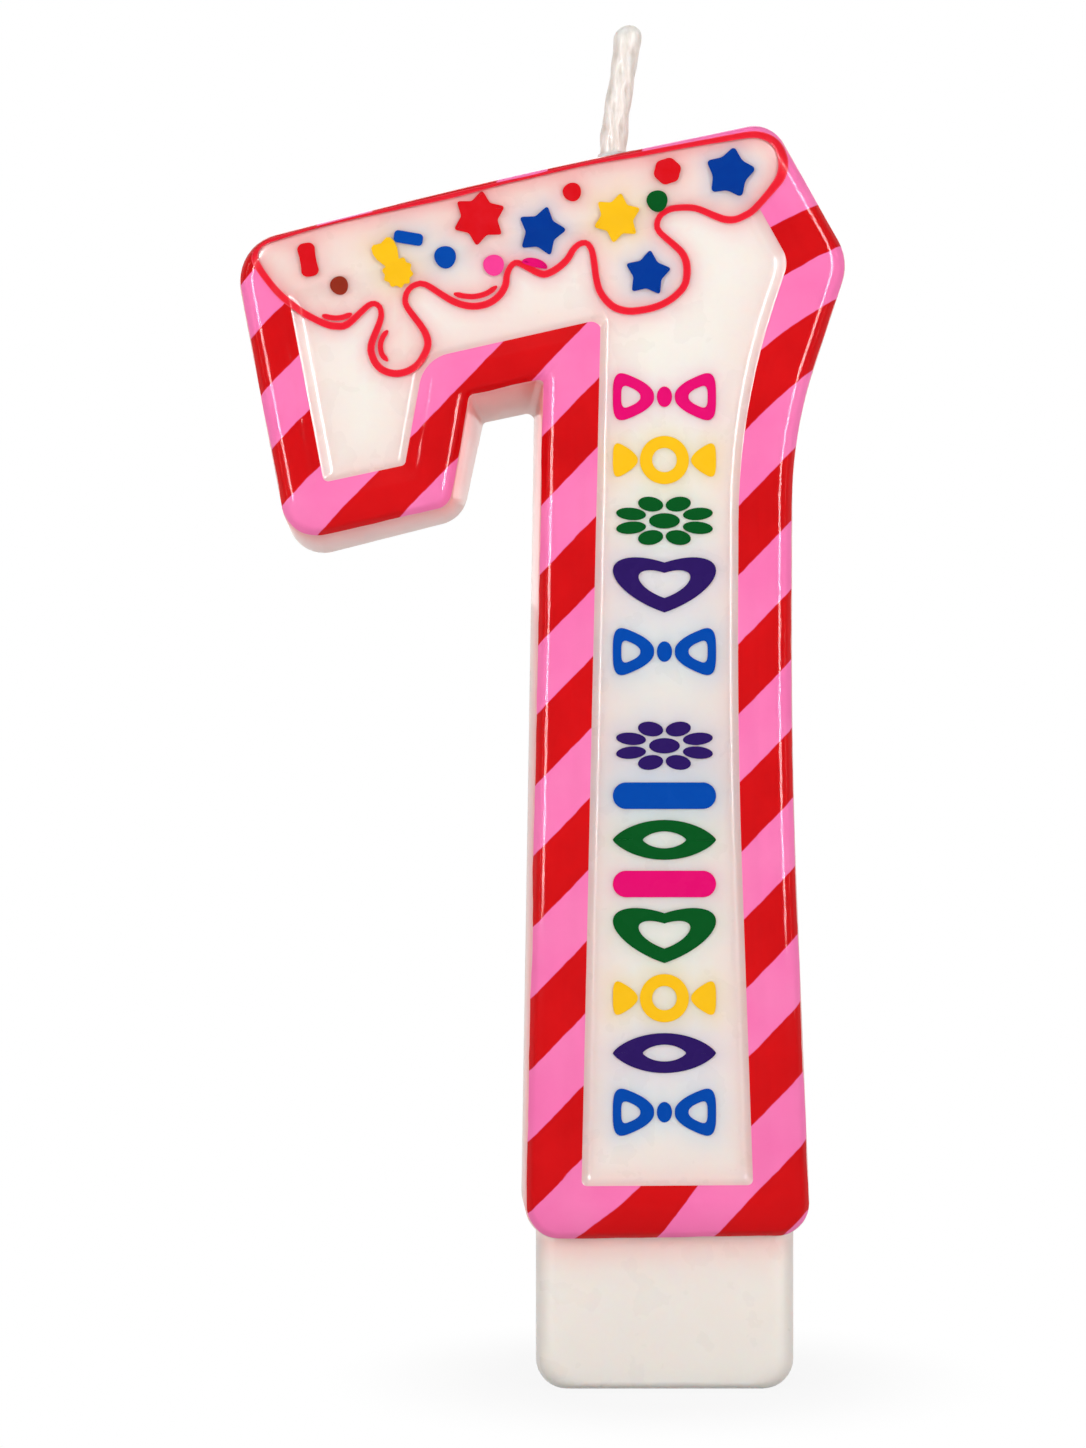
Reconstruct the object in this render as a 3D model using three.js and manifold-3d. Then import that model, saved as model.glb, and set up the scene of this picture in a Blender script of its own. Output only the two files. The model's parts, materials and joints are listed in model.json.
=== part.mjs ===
// A number candle: a moulded wax seven on a plain foot, with a wick and printed transfer films.
// Millimetres. X runs to the right across the face, Z up, and the face looks along -Y.
// The origin is the middle of the foot's underside.

import * as THREE from 'three';
import { mergeVertices } from 'three/addons/utils/BufferGeometryUtils.js';
import { TessellateModifier } from 'three/addons/modifiers/TessellateModifier.js';
import Module from 'manifold-3d';

const wasm = await Module();
wasm.setup();

// Foot
const footWidth = 15.5;
const footHeight = 9.2;
const footDepth = 9.4;
const footRound = 1.5;
const footEdge = 0.9;
const footSetback = 1.7;      // from the rim's front to the foot's front

// Numeral, seen from the front: reaches are measured from the middle of the foot
const numeralHeight = 67.2;   // from the foot to the shoulder, the highest corner
const thickness = 12;
const armRise = THREE.MathUtils.degToRad(12.7);
const armReach = 25.9;
const armDepth = 12.6;        // from the arm's top edge down to the arch
const flagDrop = 18.7;        // from the arm's top edge down to the flag's lower edge
const flagLeft = 22.5;
const flagRight = 13;
const archLeft = 11.8;
const archRight = 7.2;
const stemLeft = 8.25;
const stemRight = 8.6;
const waistRight = 7.6;
const waistHeight = 30;
const elbowDrop = 19;
const apexReach = 11.2;
const apexDrop = 8.3;
const shoulderReach = 6.3;

// Roundings of the outline, and of the corners of the panel inside it
const flagRound = 2;
const hookRound = 2.1;
const hookTipRound = 1.5;
const archRound = 0.6;
const stemRound = 2;
const waistRound = 400;
const elbowRound = 12;
const apexRound = 1.8;
const shoulderRound = 2.7;
const panelRound = 0.35;
const archPanelRound = 1.2;

// Rim, panel and walls
const rimWidth = 3;
const topRimWidth = 1.4;
const slopeWidth = 0.75;
const topSlopeWidth = 0.4;
const panelDepth = 0.7;
const edgeRound = 1.35;
const backRound = 0.8;
const wallDraft = 0.7;

// Wick and its hole
const wickDiameter = 1.6;
const wickStub = 7.8;
const wickLean = THREE.MathUtils.degToRad(7.4);
const wickAlong = 9.5;        // from the shoulder along the arm's top edge
const wickFloor = 4;
const wickClearance = 0.3;
const meniscusHeight = 0.5;
const meniscusSpread = 0.5;

// Printed films
const filmThickness = 0.1;
const seatGap = 0.05;         // under the film on the rim's even surface
const drapeGap = 0.15;        // under the prints that cross from the rim to the panel
const layerGap = 0.05;
const cutGap = 0.1;
const topFilmWidth = 0.45;
const lineWidth = 0.5;
const strokeWidth = 0.45;
const starSize = 1.45;
const starInner = 0.72;
const sixStarInner = 0.9;
const redRod = [2, 1];
const blueRod = [1.7, 0.75];
const smallDot = 0.56;
const dotSize = 0.63;
const halfDot = [1.1, 0.5];
const wideDot = [1.6, 1.5];
const twinUpper = 0.75;
const twinLower = 0.9;
const twinSpacing = 1.25;

// Column of marks on the stem
const markWidth = 6.2;
const bowHeight = 3.4;
const sweetHeight = 2.9;
const flowerHeight = 3.1;
const heartHeight = 3.3;
const kiteHeight = 2.2;
const lozengeHeight = 1.6;
const markGap = 0.65;
const groupGap = 2.4;
const columnDrop = 13.4;      // from the arm's top edge, above the column, down to its first mark

const arcSteps = 4;
const edgeSteps = 3;
const boreSides = 20;
const wickSteps = 20;
const curveSteps = 6;
const lineSteps = 4;
const filmMesh = 0.6;

const colours = {
  wax: 0xf3ebe2,
  wick: 0xf5efe6,
  red: 0xda080e,
  pink: 0xfd6cb2,
  magenta: 0xf00a82,
  yellow: 0xfdc414,
  green: 0x005f19,
  purple: 0x321978,
  blue: 0x0055be,
  starBlue: 0x003796,
  brown: 0x8c2016,
};

const shoulderZ = footHeight + numeralHeight;
const frontY = -footDepth / 2 - footSetback;
const layerLift = drapeGap + filmThickness + layerGap;
const faceY = (depth) => frontY + depth;
const topEdgeZ = (x) => shoulderZ - (shoulderReach - x) * Math.tan(armRise);

// Corners of the outline, anticlockwise from the front. rim and slope belong to the edge that starts there.
const corner = (x, z, round, panel = panelRound, rim = rimWidth, slope = slopeWidth) => ({
  x, z, round, panel, rim, slope,
});

const outline = [
  corner(-armReach, topEdgeZ(-armReach), flagRound),
  corner(-flagLeft, topEdgeZ(-flagLeft) - flagDrop, hookRound),
  corner(-flagRight, topEdgeZ(-flagRight) - flagDrop, hookTipRound),
  corner(-archLeft, topEdgeZ(-archLeft) - armDepth, archRound, archPanelRound),
  corner(-archRight, topEdgeZ(-archRight) - armDepth, archRound, archRound),
  corner(-stemLeft, footHeight, stemRound),
  corner(stemRight, footHeight, stemRound),
  corner(waistRight, footHeight + waistHeight, waistRound, waistRound),
  corner(waistRight, shoulderZ - elbowDrop, elbowRound, elbowRound),
  corner(apexReach, shoulderZ - apexDrop, apexRound),
  corner(shoulderReach, shoulderZ, shoulderRound, shoulderRound / 2, topRimWidth, topSlopeWidth),
];

// A place on the arm's face: along from the shoulder, and down from the top edge.
function onArm(along, down) {
  const x = shoulderReach - along * Math.cos(armRise) + down * Math.sin(armRise);
  const z = shoulderZ - along * Math.sin(armRise) - down * Math.cos(armRise);
  return new THREE.Vector2(x, z);
}

// A printed place on the arm: a share of the arm's length from the flag's end, and down from the top edge.
const armLength = (armReach + shoulderReach) / Math.cos(armRise);
const printed = (share, down) => onArm((1 - share) * armLength, down);

// Rings: the outline moved inwards, each corner with the same number of points.

function shiftedCorner(before, here, after, insetBefore, insetAfter) {
  const d0 = new THREE.Vector2(here.x - before.x, here.z - before.z).normalize();
  const d1 = new THREE.Vector2(after.x - here.x, after.z - here.z).normalize();
  const n0 = new THREE.Vector2(-d0.y, d0.x);
  const n1 = new THREE.Vector2(-d1.y, d1.x);
  const turn = n0.cross(n1);
  const x = here.x + (insetBefore * n1.y - insetAfter * n0.y) / turn;
  const z = here.z + (insetAfter * n0.x - insetBefore * n1.x) / turn;
  return { point: new THREE.Vector2(x, z), d0, d1, n0, turn };
}

function roundAt(here, inset, turn) {
  if (inset < 0) return Math.max(here.round - inset * Math.sign(turn), panelRound);
  return THREE.MathUtils.lerp(here.round, here.panel, Math.min(inset / here.rim, 1));
}

function cornerArc({ point, d0, n0, turn }, radius) {
  const angle = Math.asin(turn);
  const reach = radius * Math.tan(Math.abs(angle) / 2);
  const start = point.clone().addScaledVector(d0, -reach);
  const centre = start.clone().addScaledVector(n0, radius * Math.sign(turn));
  const arc = [];
  for (let i = 0; i <= arcSteps; i += 1) {
    arc.push(start.clone().rotateAround(centre, (angle * i) / arcSteps));
  }
  return arc;
}

function ringOf(corners, insetOf) {
  const count = corners.length;
  return corners.flatMap((here, i) => {
    const before = corners[(i + count - 1) % count];
    const after = corners[(i + 1) % count];
    const shifted = shiftedCorner(before, here, after, insetOf(before), insetOf(here));
    return cornerArc(shifted, roundAt(here, insetOf(here), shifted.turn));
  });
}

const ringAt = (inset) => ringOf(outline, () => inset);
const rimRing = (share) => ringOf(outline, (edge) => edge.rim + edge.slope * share);

// Solids from rings and from triangles

const inSpace = (ring, depth) => ring.map((p) => new THREE.Vector3(p.x, faceY(depth), p.y));

function geometryOf(points, triangles) {
  const geometry = new THREE.BufferGeometry();
  geometry.setAttribute('position', new THREE.Float32BufferAttribute(points.flatMap((p) => [p.x, p.y, p.z]), 3));
  geometry.setIndex(triangles);
  return geometry;
}

function wallBetween(first, second, size) {
  const triangles = [];
  for (let i = 0; i < size; i += 1) {
    const next = (i + 1) % size;
    triangles.push(first + i, first + next, second + next);
    triangles.push(first + i, second + next, second + i);
  }
  return triangles;
}

// Rings from the back to the front, closed at both ends by flat faces.
function casting(rings) {
  const size = rings[0].length;
  const walls = rings.slice(1).flatMap((_, k) => wallBetween(k * size, (k + 1) * size, size));
  const flat = (ring) => THREE.ShapeUtils.triangulateShape(ring.map((p) => new THREE.Vector2(p.x, p.z)), []);
  const back = flat(rings[0]).flatMap(([a, b, c]) => [a, c, b]);
  const last = (rings.length - 1) * size;
  const front = flat(rings.at(-1)).flatMap(([a, b, c]) => [a + last, b + last, c + last]);
  return geometryOf(rings.flat(), [...walls, ...back, ...front]);
}

// Rings that go round a section and come back to the first one.
function hoop(rings) {
  const size = rings[0].length;
  const walls = rings.flatMap((_, k) => wallBetween(k * size, ((k + 1) % rings.length) * size, size));
  return geometryOf(rings.flat(), walls);
}

function toSolid(geometry) {
  const bare = geometry.clone();
  bare.deleteAttribute('normal');
  bare.deleteAttribute('uv');
  const merged = mergeVertices(bare, 1e-4);
  const vertProperties = new Float32Array(merged.attributes.position.array);
  const triVerts = new Uint32Array(merged.index.array);
  return new wasm.Manifold(new wasm.Mesh({ numProp: 3, vertProperties, triVerts }));
}

function toGeometry(solid) {
  const mesh = solid.getMesh();
  const geometry = new THREE.BufferGeometry();
  geometry.setAttribute('position', new THREE.BufferAttribute(mesh.vertProperties, mesh.numProp));
  geometry.setIndex(new THREE.BufferAttribute(mesh.triVerts, 1));
  return geometry;
}

const quarter = (steps) => Array.from({ length: steps + 1 }, (_, i) => (Math.PI / 2) * (i / steps));

// Wax casting

function numeral() {
  const back = quarter(edgeSteps).map((turn) => {
    const inset = backRound * (1 - Math.sin(turn)) - wallDraft;
    return inSpace(ringAt(inset), thickness - backRound * (1 - Math.cos(turn)));
  });
  const edge = quarter(edgeSteps).map((turn) => {
    const inset = edgeRound * (1 - Math.cos(turn));
    return inSpace(ringAt(inset), edgeRound * (1 - Math.sin(turn)));
  });
  return casting([...back, ...edge, inSpace(rimRing(0), 0), inSpace(rimRing(1), panelDepth)]);
}

function foot() {
  const half = footWidth / 2;
  const top = footHeight + rimWidth;
  const block = [
    corner(-half, 0, footRound),
    corner(half, 0, footRound),
    corner(half, top, footRound),
    corner(-half, top, footRound),
  ];
  const ring = (inset, depth) => inSpace(ringOf(block, () => inset), depth);
  const back = quarter(edgeSteps).map((turn) => {
    const depth = footSetback + footDepth - footEdge * (1 - Math.cos(turn));
    return ring(footEdge * (1 - Math.sin(turn)), depth);
  });
  const front = quarter(edgeSteps).map((turn) => {
    const depth = footSetback + footEdge * (1 - Math.sin(turn));
    return ring(footEdge * (1 - Math.cos(turn)), depth);
  });
  return casting([...back, ...front]);
}

const wickRadius = wickDiameter / 2;
const boreRadius = wickRadius + wickClearance;
const wickMouth = onArm(wickAlong, 0);
const wickY = faceY(thickness / 2);

// Wax drawn up round the wick where it leaves the arm.
function meniscus() {
  const low = boreRadius + meniscusSpread;
  const high = boreRadius + meniscusSpread / 3;
  const sunk = low * Math.tan(armRise) + meniscusHeight;
  const cone = new THREE.CylinderGeometry(high, low + (low - high) * (sunk / meniscusHeight), meniscusHeight + sunk, boreSides);
  cone.translate(0, (meniscusHeight - sunk) / 2, 0);
  cone.rotateX(Math.PI / 2);
  cone.rotateY(-armRise);
  cone.translate(wickMouth.x, wickY, wickMouth.y);
  return cone;
}

function bore() {
  const top = wickMouth.y + boreRadius + meniscusHeight * 2;
  const hole = new THREE.CylinderGeometry(boreRadius, boreRadius, top - wickFloor, boreSides);
  hole.rotateX(Math.PI / 2);
  hole.translate(wickMouth.x, wickY, (top + wickFloor) / 2);
  return hole;
}

function waxBody() {
  const body = toSolid(numeral()).add(toSolid(foot())).add(toSolid(meniscus()));
  return toGeometry(body.subtract(toSolid(bore())));
}

// Wick: straight down the stem, leaning once it is out of the wax, with a rounded tip.

function wick() {
  const place = (out, z) => new THREE.Vector3(wickMouth.x + out, wickY, z);
  const tip = place(wickStub * Math.sin(wickLean), wickMouth.y + wickStub * Math.cos(wickLean));
  const bend = wickDiameter * 2;
  const path = new THREE.CatmullRomCurve3([
    place(0, wickFloor + wickClearance),
    place(0, wickMouth.y / 2),
    place(0, wickMouth.y - bend),
    place(0, wickMouth.y),
    place(bend * Math.sin(wickLean), wickMouth.y + bend * Math.cos(wickLean)),
    tip,
  ]);
  const section = new THREE.Shape().absarc(0, 0, wickRadius, 0, Math.PI * 2);
  const tube = new THREE.ExtrudeGeometry(section, { extrudePath: path, steps: wickSteps, curveSegments: curveSteps });
  const dome = new THREE.SphereGeometry(wickRadius, curveSteps * 2, curveSteps);
  dome.rotateX(Math.PI / 2);
  dome.translate(tip.x, tip.y, tip.z);
  return toGeometry(toSolid(tube).add(toSolid(dome)));
}

// Surface of the wax under the films

function edgeDistance(ring, p) {
  let nearest = Infinity;
  ring.forEach((start, i) => {
    const end = ring[(i + 1) % ring.length];
    const along = end.clone().sub(start);
    const share = THREE.MathUtils.clamp(p.clone().sub(start).dot(along) / along.lengthSq(), 0, 1);
    nearest = Math.min(nearest, p.distanceTo(start.clone().addScaledVector(along, share)));
  });
  return nearest;
}

function isInside(ring, p) {
  let inside = false;
  ring.forEach((a, i) => {
    const b = ring[(i + 1) % ring.length];
    const crosses = (a.y > p.y) !== (b.y > p.y);
    if (crosses && p.x < a.x + ((b.x - a.x) * (p.y - a.y)) / (b.y - a.y)) inside = !inside;
  });
  return inside;
}

const outerRing = ringAt(0);
const innerRing = rimRing(0);

function surfaceDepth(p) {
  if (isInside(innerRing, p)) return panelDepth * Math.min(edgeDistance(innerRing, p) / slopeWidth, 1);
  const fall = edgeRound - edgeDistance(outerRing, p);
  return fall > 0 ? edgeRound - Math.sqrt(edgeRound ** 2 - Math.min(fall, edgeRound) ** 2) : 0;
}

// A film patch that follows the wax: flat triangles, a lower and an upper skin, and a wall round the outside.
function film(points, triangles, lift) {
  const size = points.length;
  const lower = points.map((p) => new THREE.Vector3(p.x, faceY(surfaceDepth(p) - lift), p.y));
  const upper = lower.map((p) => p.clone().setY(p.y - filmThickness));
  const faces = triangles.flatMap(([a, b, c]) => [a + size, b + size, c + size, a, c, b]);
  const sides = triangles.flatMap(([a, b, c]) => [[a, b], [b, c], [c, a]]);
  const seen = new Set(sides.map(([a, b]) => `${a},${b}`));
  const rim = sides.filter(([a, b]) => !seen.has(`${b},${a}`));
  const walls = rim.flatMap(([a, b]) => [b + size, a + size, a, b + size, a, b]);
  return geometryOf([...lower, ...upper], [...faces, ...walls]);
}

// mesh is the longest side of a triangle, where the patch has to bend with the wax.
function patch(shape, lift, mesh = Infinity) {
  const flat = new THREE.ShapeGeometry(shape, curveSteps);
  flat.deleteAttribute('normal');
  flat.deleteAttribute('uv');
  const fine = mergeVertices(new TessellateModifier(mesh, 6).modify(flat.toNonIndexed()), 1e-4);
  const place = fine.attributes.position;
  const points = Array.from({ length: place.count }, (_, i) => new THREE.Vector2(place.getX(i), place.getY(i)));
  const index = Array.from(fine.index.array);
  const triangles = Array.from({ length: index.length / 3 }, (_, i) => index.slice(i * 3, i * 3 + 3));
  return film(points, triangles, lift);
}

// The two edges of a line of the given width along a curve through points.
function lineEdges(points, width) {
  const curve = new THREE.SplineCurve(points);
  const stations = Array.from({ length: (points.length - 1) * lineSteps + 1 }, (_, i) => i);
  const share = (i) => i / (stations.length - 1);
  const side = (sign) => stations.map((i) => {
    const along = curve.getTangent(share(i));
    const out = new THREE.Vector2(-along.y, along.x);
    return curve.getPoint(share(i)).addScaledVector(out, (sign * width) / 2);
  });
  return { left: side(1), right: side(-1) };
}

function line(points, width) {
  const { left, right } = lineEdges(points, width);
  const size = left.length;
  const triangles = [];
  for (let i = 0; i < size - 1; i += 1) {
    triangles.push([i, size + i, size + i + 1]);
    triangles.push([i, size + i + 1, i + 1]);
  }
  return film([...left, ...right], triangles, drapeGap);
}

// Icing: its outline runs from the flag's edge over the drips to the shoulder. Along and down the arm.
const icingLine = [
  [0.018, 1.9], [0.055, 2.5], [0.082, 4.2], [0.133, 6], [0.179, 6.3], [0.212, 5.7],
  [0.23, 6.6], [0.203, 8.3], [0.236, 9.8], [0.288, 9.5], [0.303, 7.9], [0.285, 6.3],
  [0.294, 5.1], [0.333, 5.4], [0.394, 7], [0.445, 7], [0.473, 5.5], [0.497, 5.1],
  [0.545, 6.1], [0.588, 5.3], [0.621, 4.7], [0.63, 6], [0.636, 8], [0.676, 9.3],
  [0.73, 9.5], [0.785, 8.5], [0.791, 6.8], [0.767, 5], [0.779, 4], [0.83, 4.2],
  [0.894, 5.3], [0.958, 5.1], [0.989, 3.7], [0.997, 2.2], [0.976, 1.15], [0.936, 0.9],
].map(([share, down]) => printed(share, down));

const icingStrokes = {
  icing_stroke_flag: [printed(0.13, 5.5), printed(0.155, 5.8), printed(0.182, 5.7)],
  icing_stroke_drip: [printed(0.242, 7.3), printed(0.221, 8.2), printed(0.236, 9)],
  icing_stroke_middle: [printed(0.373, 5.8), printed(0.406, 6.3), printed(0.445, 6.2)],
};

// Candy-stripe film: it wraps the rim's rounded edge and front, and gives way to the icing.

// The icing's area, with its lower side on the outline and its upper side just below the arm's top edge.
function icingArea() {
  const { right } = lineEdges(icingLine, lineWidth + cutGap * 2);
  const flagCorner = ringAt(topFilmWidth).slice(0, arcSteps + 1);
  const depth = edgeRound * 3;
  const block = new THREE.ExtrudeGeometry(new THREE.Shape([...right, ...flagCorner]), { depth, bevelEnabled: false });
  block.rotateX(Math.PI / 2);
  return block.translate(0, faceY(edgeRound * 2), 0);
}

function borderFilm() {
  const skin = (lift) => quarter(edgeSteps).map((turn) => {
    const reach = edgeRound + lift;
    return inSpace(ringAt(edgeRound - reach * Math.cos(turn)), edgeRound - reach * Math.sin(turn));
  });
  const upper = seatGap + filmThickness;
  const outside = [...skin(upper), inSpace(rimRing(0), -upper)];
  const inside = [...skin(seatGap), inSpace(rimRing(0), -seatGap)];
  const ring = toSolid(hoop([...outside, ...inside.reverse()]));
  return toGeometry(ring.subtract(toSolid(icingArea())));
}

// Sprinkles: each is a shape round its own middle, then turned and put in its place on the arm.

function moved(shape, place, turn = 0) {
  const centre = new THREE.Vector2();
  const points = shape.getPoints(curveSteps).map((p) => p.clone().rotateAround(centre, turn).add(place));
  if (points[0].distanceTo(points.at(-1)) < 1e-6) points.pop();
  return new THREE.Shape(points);
}

function star(points, outer, inner) {
  const tips = Array.from({ length: points * 2 }, (_, i) => {
    const turn = Math.PI / 2 + (Math.PI * i) / points;
    const reach = i % 2 ? inner : outer;
    return new THREE.Vector2(reach * Math.cos(turn), reach * Math.sin(turn));
  });
  return new THREE.Shape(tips);
}

const dot = (radius) => new THREE.Shape().absarc(0, 0, radius, 0, Math.PI * 2);

function rod(length, width) {
  const radius = width / 2;
  const reach = length / 2 - radius;
  const shape = new THREE.Shape();
  shape.absarc(reach, 0, radius, -Math.PI / 2, Math.PI / 2);
  shape.absarc(-reach, 0, radius, Math.PI / 2, (Math.PI * 3) / 2);
  return shape;
}

// Two dots that run into each other, one above the other.
function twinDots(upper, lower, spacing) {
  const meet = (spacing ** 2 + lower ** 2 - upper ** 2) / (2 * spacing);
  const fromLower = Math.acos(meet / lower);
  const fromUpper = Math.acos((spacing - meet) / upper);
  const up = Math.PI / 2;
  const shape = new THREE.Shape();
  shape.absarc(0, 0, lower, up + fromLower, up * 5 - fromLower);
  shape.absarc(0, spacing, upper, fromUpper - up, up * 3 - fromUpper);
  return shape;
}

function petals(count, width, height) {
  const lobe = 0.16;
  const steps = count * 6;
  const points = Array.from({ length: steps }, (_, i) => {
    const turn = (Math.PI * 2 * i) / steps;
    const reach = (1 + lobe * Math.cos(count * turn)) / (1 + lobe) / 2;
    return new THREE.Vector2(width * reach * Math.cos(turn), height * reach * Math.sin(turn));
  });
  return new THREE.Shape(points);
}

const blueStar = () => star(5, starSize, starInner);
const sixStar = () => star(6, starSize, sixStarInner);

const sprinkles = [
  { name: 'star_red', shape: sixStar(), at: printed(0.448, 1.9), turn: -0.1, colour: colours.red },
  { name: 'star_blue_left', shape: blueStar(), at: printed(0.558, 3.6), turn: -0.25, colour: colours.starBlue },
  { name: 'star_yellow', shape: sixStar(), at: printed(0.688, 3.7), turn: -0.15, colour: colours.yellow },
  { name: 'star_blue_right', shape: blueStar(), at: printed(0.906, 2.6), turn: -0.15, colour: colours.starBlue },
  { name: 'star_blue_low', shape: blueStar(), at: printed(0.721, 7.3), turn: -0.1, colour: colours.starBlue },
  { name: 'rod_red', shape: rod(...redRod), at: printed(0.13, 2.2), turn: 1.75, colour: colours.red },
  { name: 'rod_blue', shape: rod(...blueRod), at: printed(0.315, 2.2), turn: -0.14, colour: colours.blue },
  { name: 'dot_brown', shape: dot(smallDot), at: printed(0.173, 4.1), colour: colours.brown },
  { name: 'dot_blue', shape: dot(dotSize), at: printed(0.37, 3.8), colour: colours.blue },
  { name: 'dot_pink', shape: dot(dotSize), at: printed(0.455, 4.9), colour: colours.pink },
  { name: 'dot_magenta', shape: petals(3, ...halfDot), at: printed(0.527, 5.1), turn: -0.3, colour: colours.magenta },
  { name: 'dot_red', shape: dot(smallDot), at: printed(0.618, 1.7), colour: colours.red },
  { name: 'dot_red_wide', shape: petals(5, ...wideDot), at: printed(0.797, 1.8), colour: colours.red },
  { name: 'dot_green', shape: dot(dotSize), at: printed(0.767, 3.3), colour: colours.green },
  {
    name: 'dots_yellow', shape: twinDots(twinUpper, twinLower, twinSpacing),
    at: printed(0.279, 3.9), turn: 0.45, colour: colours.yellow,
  },
];

// Marks on the stem: plain party shapes, one below the other.

function bow(width, height) {
  const knot = width / 8;
  const half = [[width / 2, height / 2], [knot, knot / 2], [-knot, knot / 2], [-width / 2, height / 2]];
  const other = half.map(([x, y]) => [-x, -y]);
  return new THREE.Shape([...half, ...other].map(([x, y]) => new THREE.Vector2(x, y)));
}

function sweet(width, height) {
  const body = width / 4;
  const wing = height / 2.4;
  const neck = Math.PI / 9;
  const shape = new THREE.Shape();
  shape.absellipse(0, 0, body, height / 2, neck, Math.PI - neck);
  shape.lineTo(-width / 2, wing);
  shape.lineTo(-width / 2, -wing);
  shape.absellipse(0, 0, body, height / 2, Math.PI + neck, Math.PI * 2 - neck);
  shape.lineTo(width / 2, -wing);
  shape.lineTo(width / 2, wing);
  return shape;
}

function heart(width, height) {
  const shape = new THREE.Shape();
  shape.moveTo(0, height * 0.25);
  shape.bezierCurveTo(width * 0.12, height * 0.6, width / 2, height * 0.6, width / 2, height * 0.15);
  shape.bezierCurveTo(width / 2, -height * 0.15, width * 0.2, -height * 0.3, 0, -height / 2);
  shape.bezierCurveTo(-width * 0.2, -height * 0.3, -width / 2, -height * 0.15, -width / 2, height * 0.15);
  shape.bezierCurveTo(-width / 2, height * 0.6, -width * 0.12, height * 0.6, 0, height * 0.25);
  return shape;
}

const kite = (width, height) => moved(petals(2, width, height), new THREE.Vector2());
const flower = (width, height) => petals(6, width, height);
const lozenge = (width, height) => rod(width, height);

const markGroups = [
  [
    { shape: bow, height: bowHeight, colour: colours.magenta },
    { shape: sweet, height: sweetHeight, colour: colours.yellow },
    { shape: flower, height: flowerHeight, colour: colours.green },
    { shape: heart, height: heartHeight, colour: colours.purple },
    { shape: bow, height: bowHeight, colour: colours.blue },
  ],
  [
    { shape: flower, height: flowerHeight, colour: colours.purple },
    { shape: lozenge, height: lozengeHeight, colour: colours.blue },
    { shape: kite, height: kiteHeight, colour: colours.green },
    { shape: lozenge, height: lozengeHeight, colour: colours.magenta },
    { shape: heart, height: heartHeight, colour: colours.green },
    { shape: sweet, height: sweetHeight, colour: colours.yellow },
    { shape: kite, height: kiteHeight, colour: colours.purple },
    { shape: bow, height: bowHeight, colour: colours.blue },
  ],
];

function placedMarks() {
  let z = topEdgeZ(0) - columnDrop;
  return markGroups.flatMap((group, g) => {
    if (g) z -= groupGap - markGap;
    return group.map(({ shape, height, colour }) => {
      const mark = { shape: moved(shape(markWidth, height), new THREE.Vector2(0, z - height / 2)), colour };
      z -= height + markGap;
      return mark;
    });
  });
}

// Assembly

const candle = new THREE.Group();

function add(name, geometry, color, roughness) {
  const mesh = new THREE.Mesh(geometry, new THREE.MeshStandardMaterial({ color, roughness, metalness: 0 }));
  mesh.name = name;
  candle.add(mesh);
}

const waxRoughness = 0.35;
const filmRoughness = 0.25;
const wickRoughness = 0.9;

add('wax_body', waxBody(), colours.wax, waxRoughness);
add('wick', wick(), colours.wick, wickRoughness);
add('border_film', borderFilm(), colours.pink, filmRoughness);
add('icing_outline', line(icingLine, lineWidth), colours.red, filmRoughness);
Object.entries(icingStrokes).forEach(([name, points]) => {
  add(name, line(points, strokeWidth), colours.red, filmRoughness);
});
sprinkles.forEach(({ name, shape, at, turn, colour }) => {
  add(name, patch(moved(shape, at, turn), layerLift, filmMesh), colour, filmRoughness);
});
placedMarks().forEach(({ shape, colour }, i) => {
  const number = String(i + 1).padStart(2, '0');
  add(`mark_${number}`, patch(shape, 0), colour, filmRoughness);
});

export default candle;
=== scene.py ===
import json
from math import asin, atan2, ceil, copysign, cos, exp, floor, pi, radians, sin, sqrt, tan, tanh

import bmesh
import bpy
from mathutils import Matrix, Vector, noise
from mathutils.bvhtree import BVHTree

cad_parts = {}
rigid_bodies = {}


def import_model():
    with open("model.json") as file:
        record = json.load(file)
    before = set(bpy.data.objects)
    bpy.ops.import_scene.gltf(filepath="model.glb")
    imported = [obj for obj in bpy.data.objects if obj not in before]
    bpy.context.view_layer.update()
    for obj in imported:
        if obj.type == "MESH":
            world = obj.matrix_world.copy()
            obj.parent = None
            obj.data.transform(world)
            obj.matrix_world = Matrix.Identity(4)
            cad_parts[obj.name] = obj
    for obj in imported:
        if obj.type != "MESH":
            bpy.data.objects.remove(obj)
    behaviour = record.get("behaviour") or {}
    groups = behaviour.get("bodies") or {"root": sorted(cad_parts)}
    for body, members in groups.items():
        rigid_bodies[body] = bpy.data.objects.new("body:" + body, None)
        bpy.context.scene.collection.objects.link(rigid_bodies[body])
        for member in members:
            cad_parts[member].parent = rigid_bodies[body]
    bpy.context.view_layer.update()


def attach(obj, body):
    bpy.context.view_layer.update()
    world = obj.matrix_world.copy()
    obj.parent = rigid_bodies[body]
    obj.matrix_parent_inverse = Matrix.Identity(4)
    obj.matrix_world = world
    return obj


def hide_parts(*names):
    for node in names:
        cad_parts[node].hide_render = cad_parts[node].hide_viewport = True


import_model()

# A number candle: a moulded wax seven with a candy-stripe film on its rim, icing, sprinkles and a wick.
# Sizes in the dictionaries are millimetres, and the scene is in metres.

mm = 0.001


# Small helpers

def at(x, y, z):
    return Vector((x * mm, y * mm, z * mm))


def noiseAt(x, y, z):
    return noise.noise(Vector((x, y, z)))


def leftOf(direction):
    return Vector((-direction.y, direction.x))


def ramp(value, start, over):
    # From 0 at the start up to 1.
    return min(max((value - start) / over, 0), 1)


def pieceName(nodeName):
    # star_red becomes starRed.
    first, *rest = nodeName.split("_")
    return first + "".join(word.capitalize() for word in rest)


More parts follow.
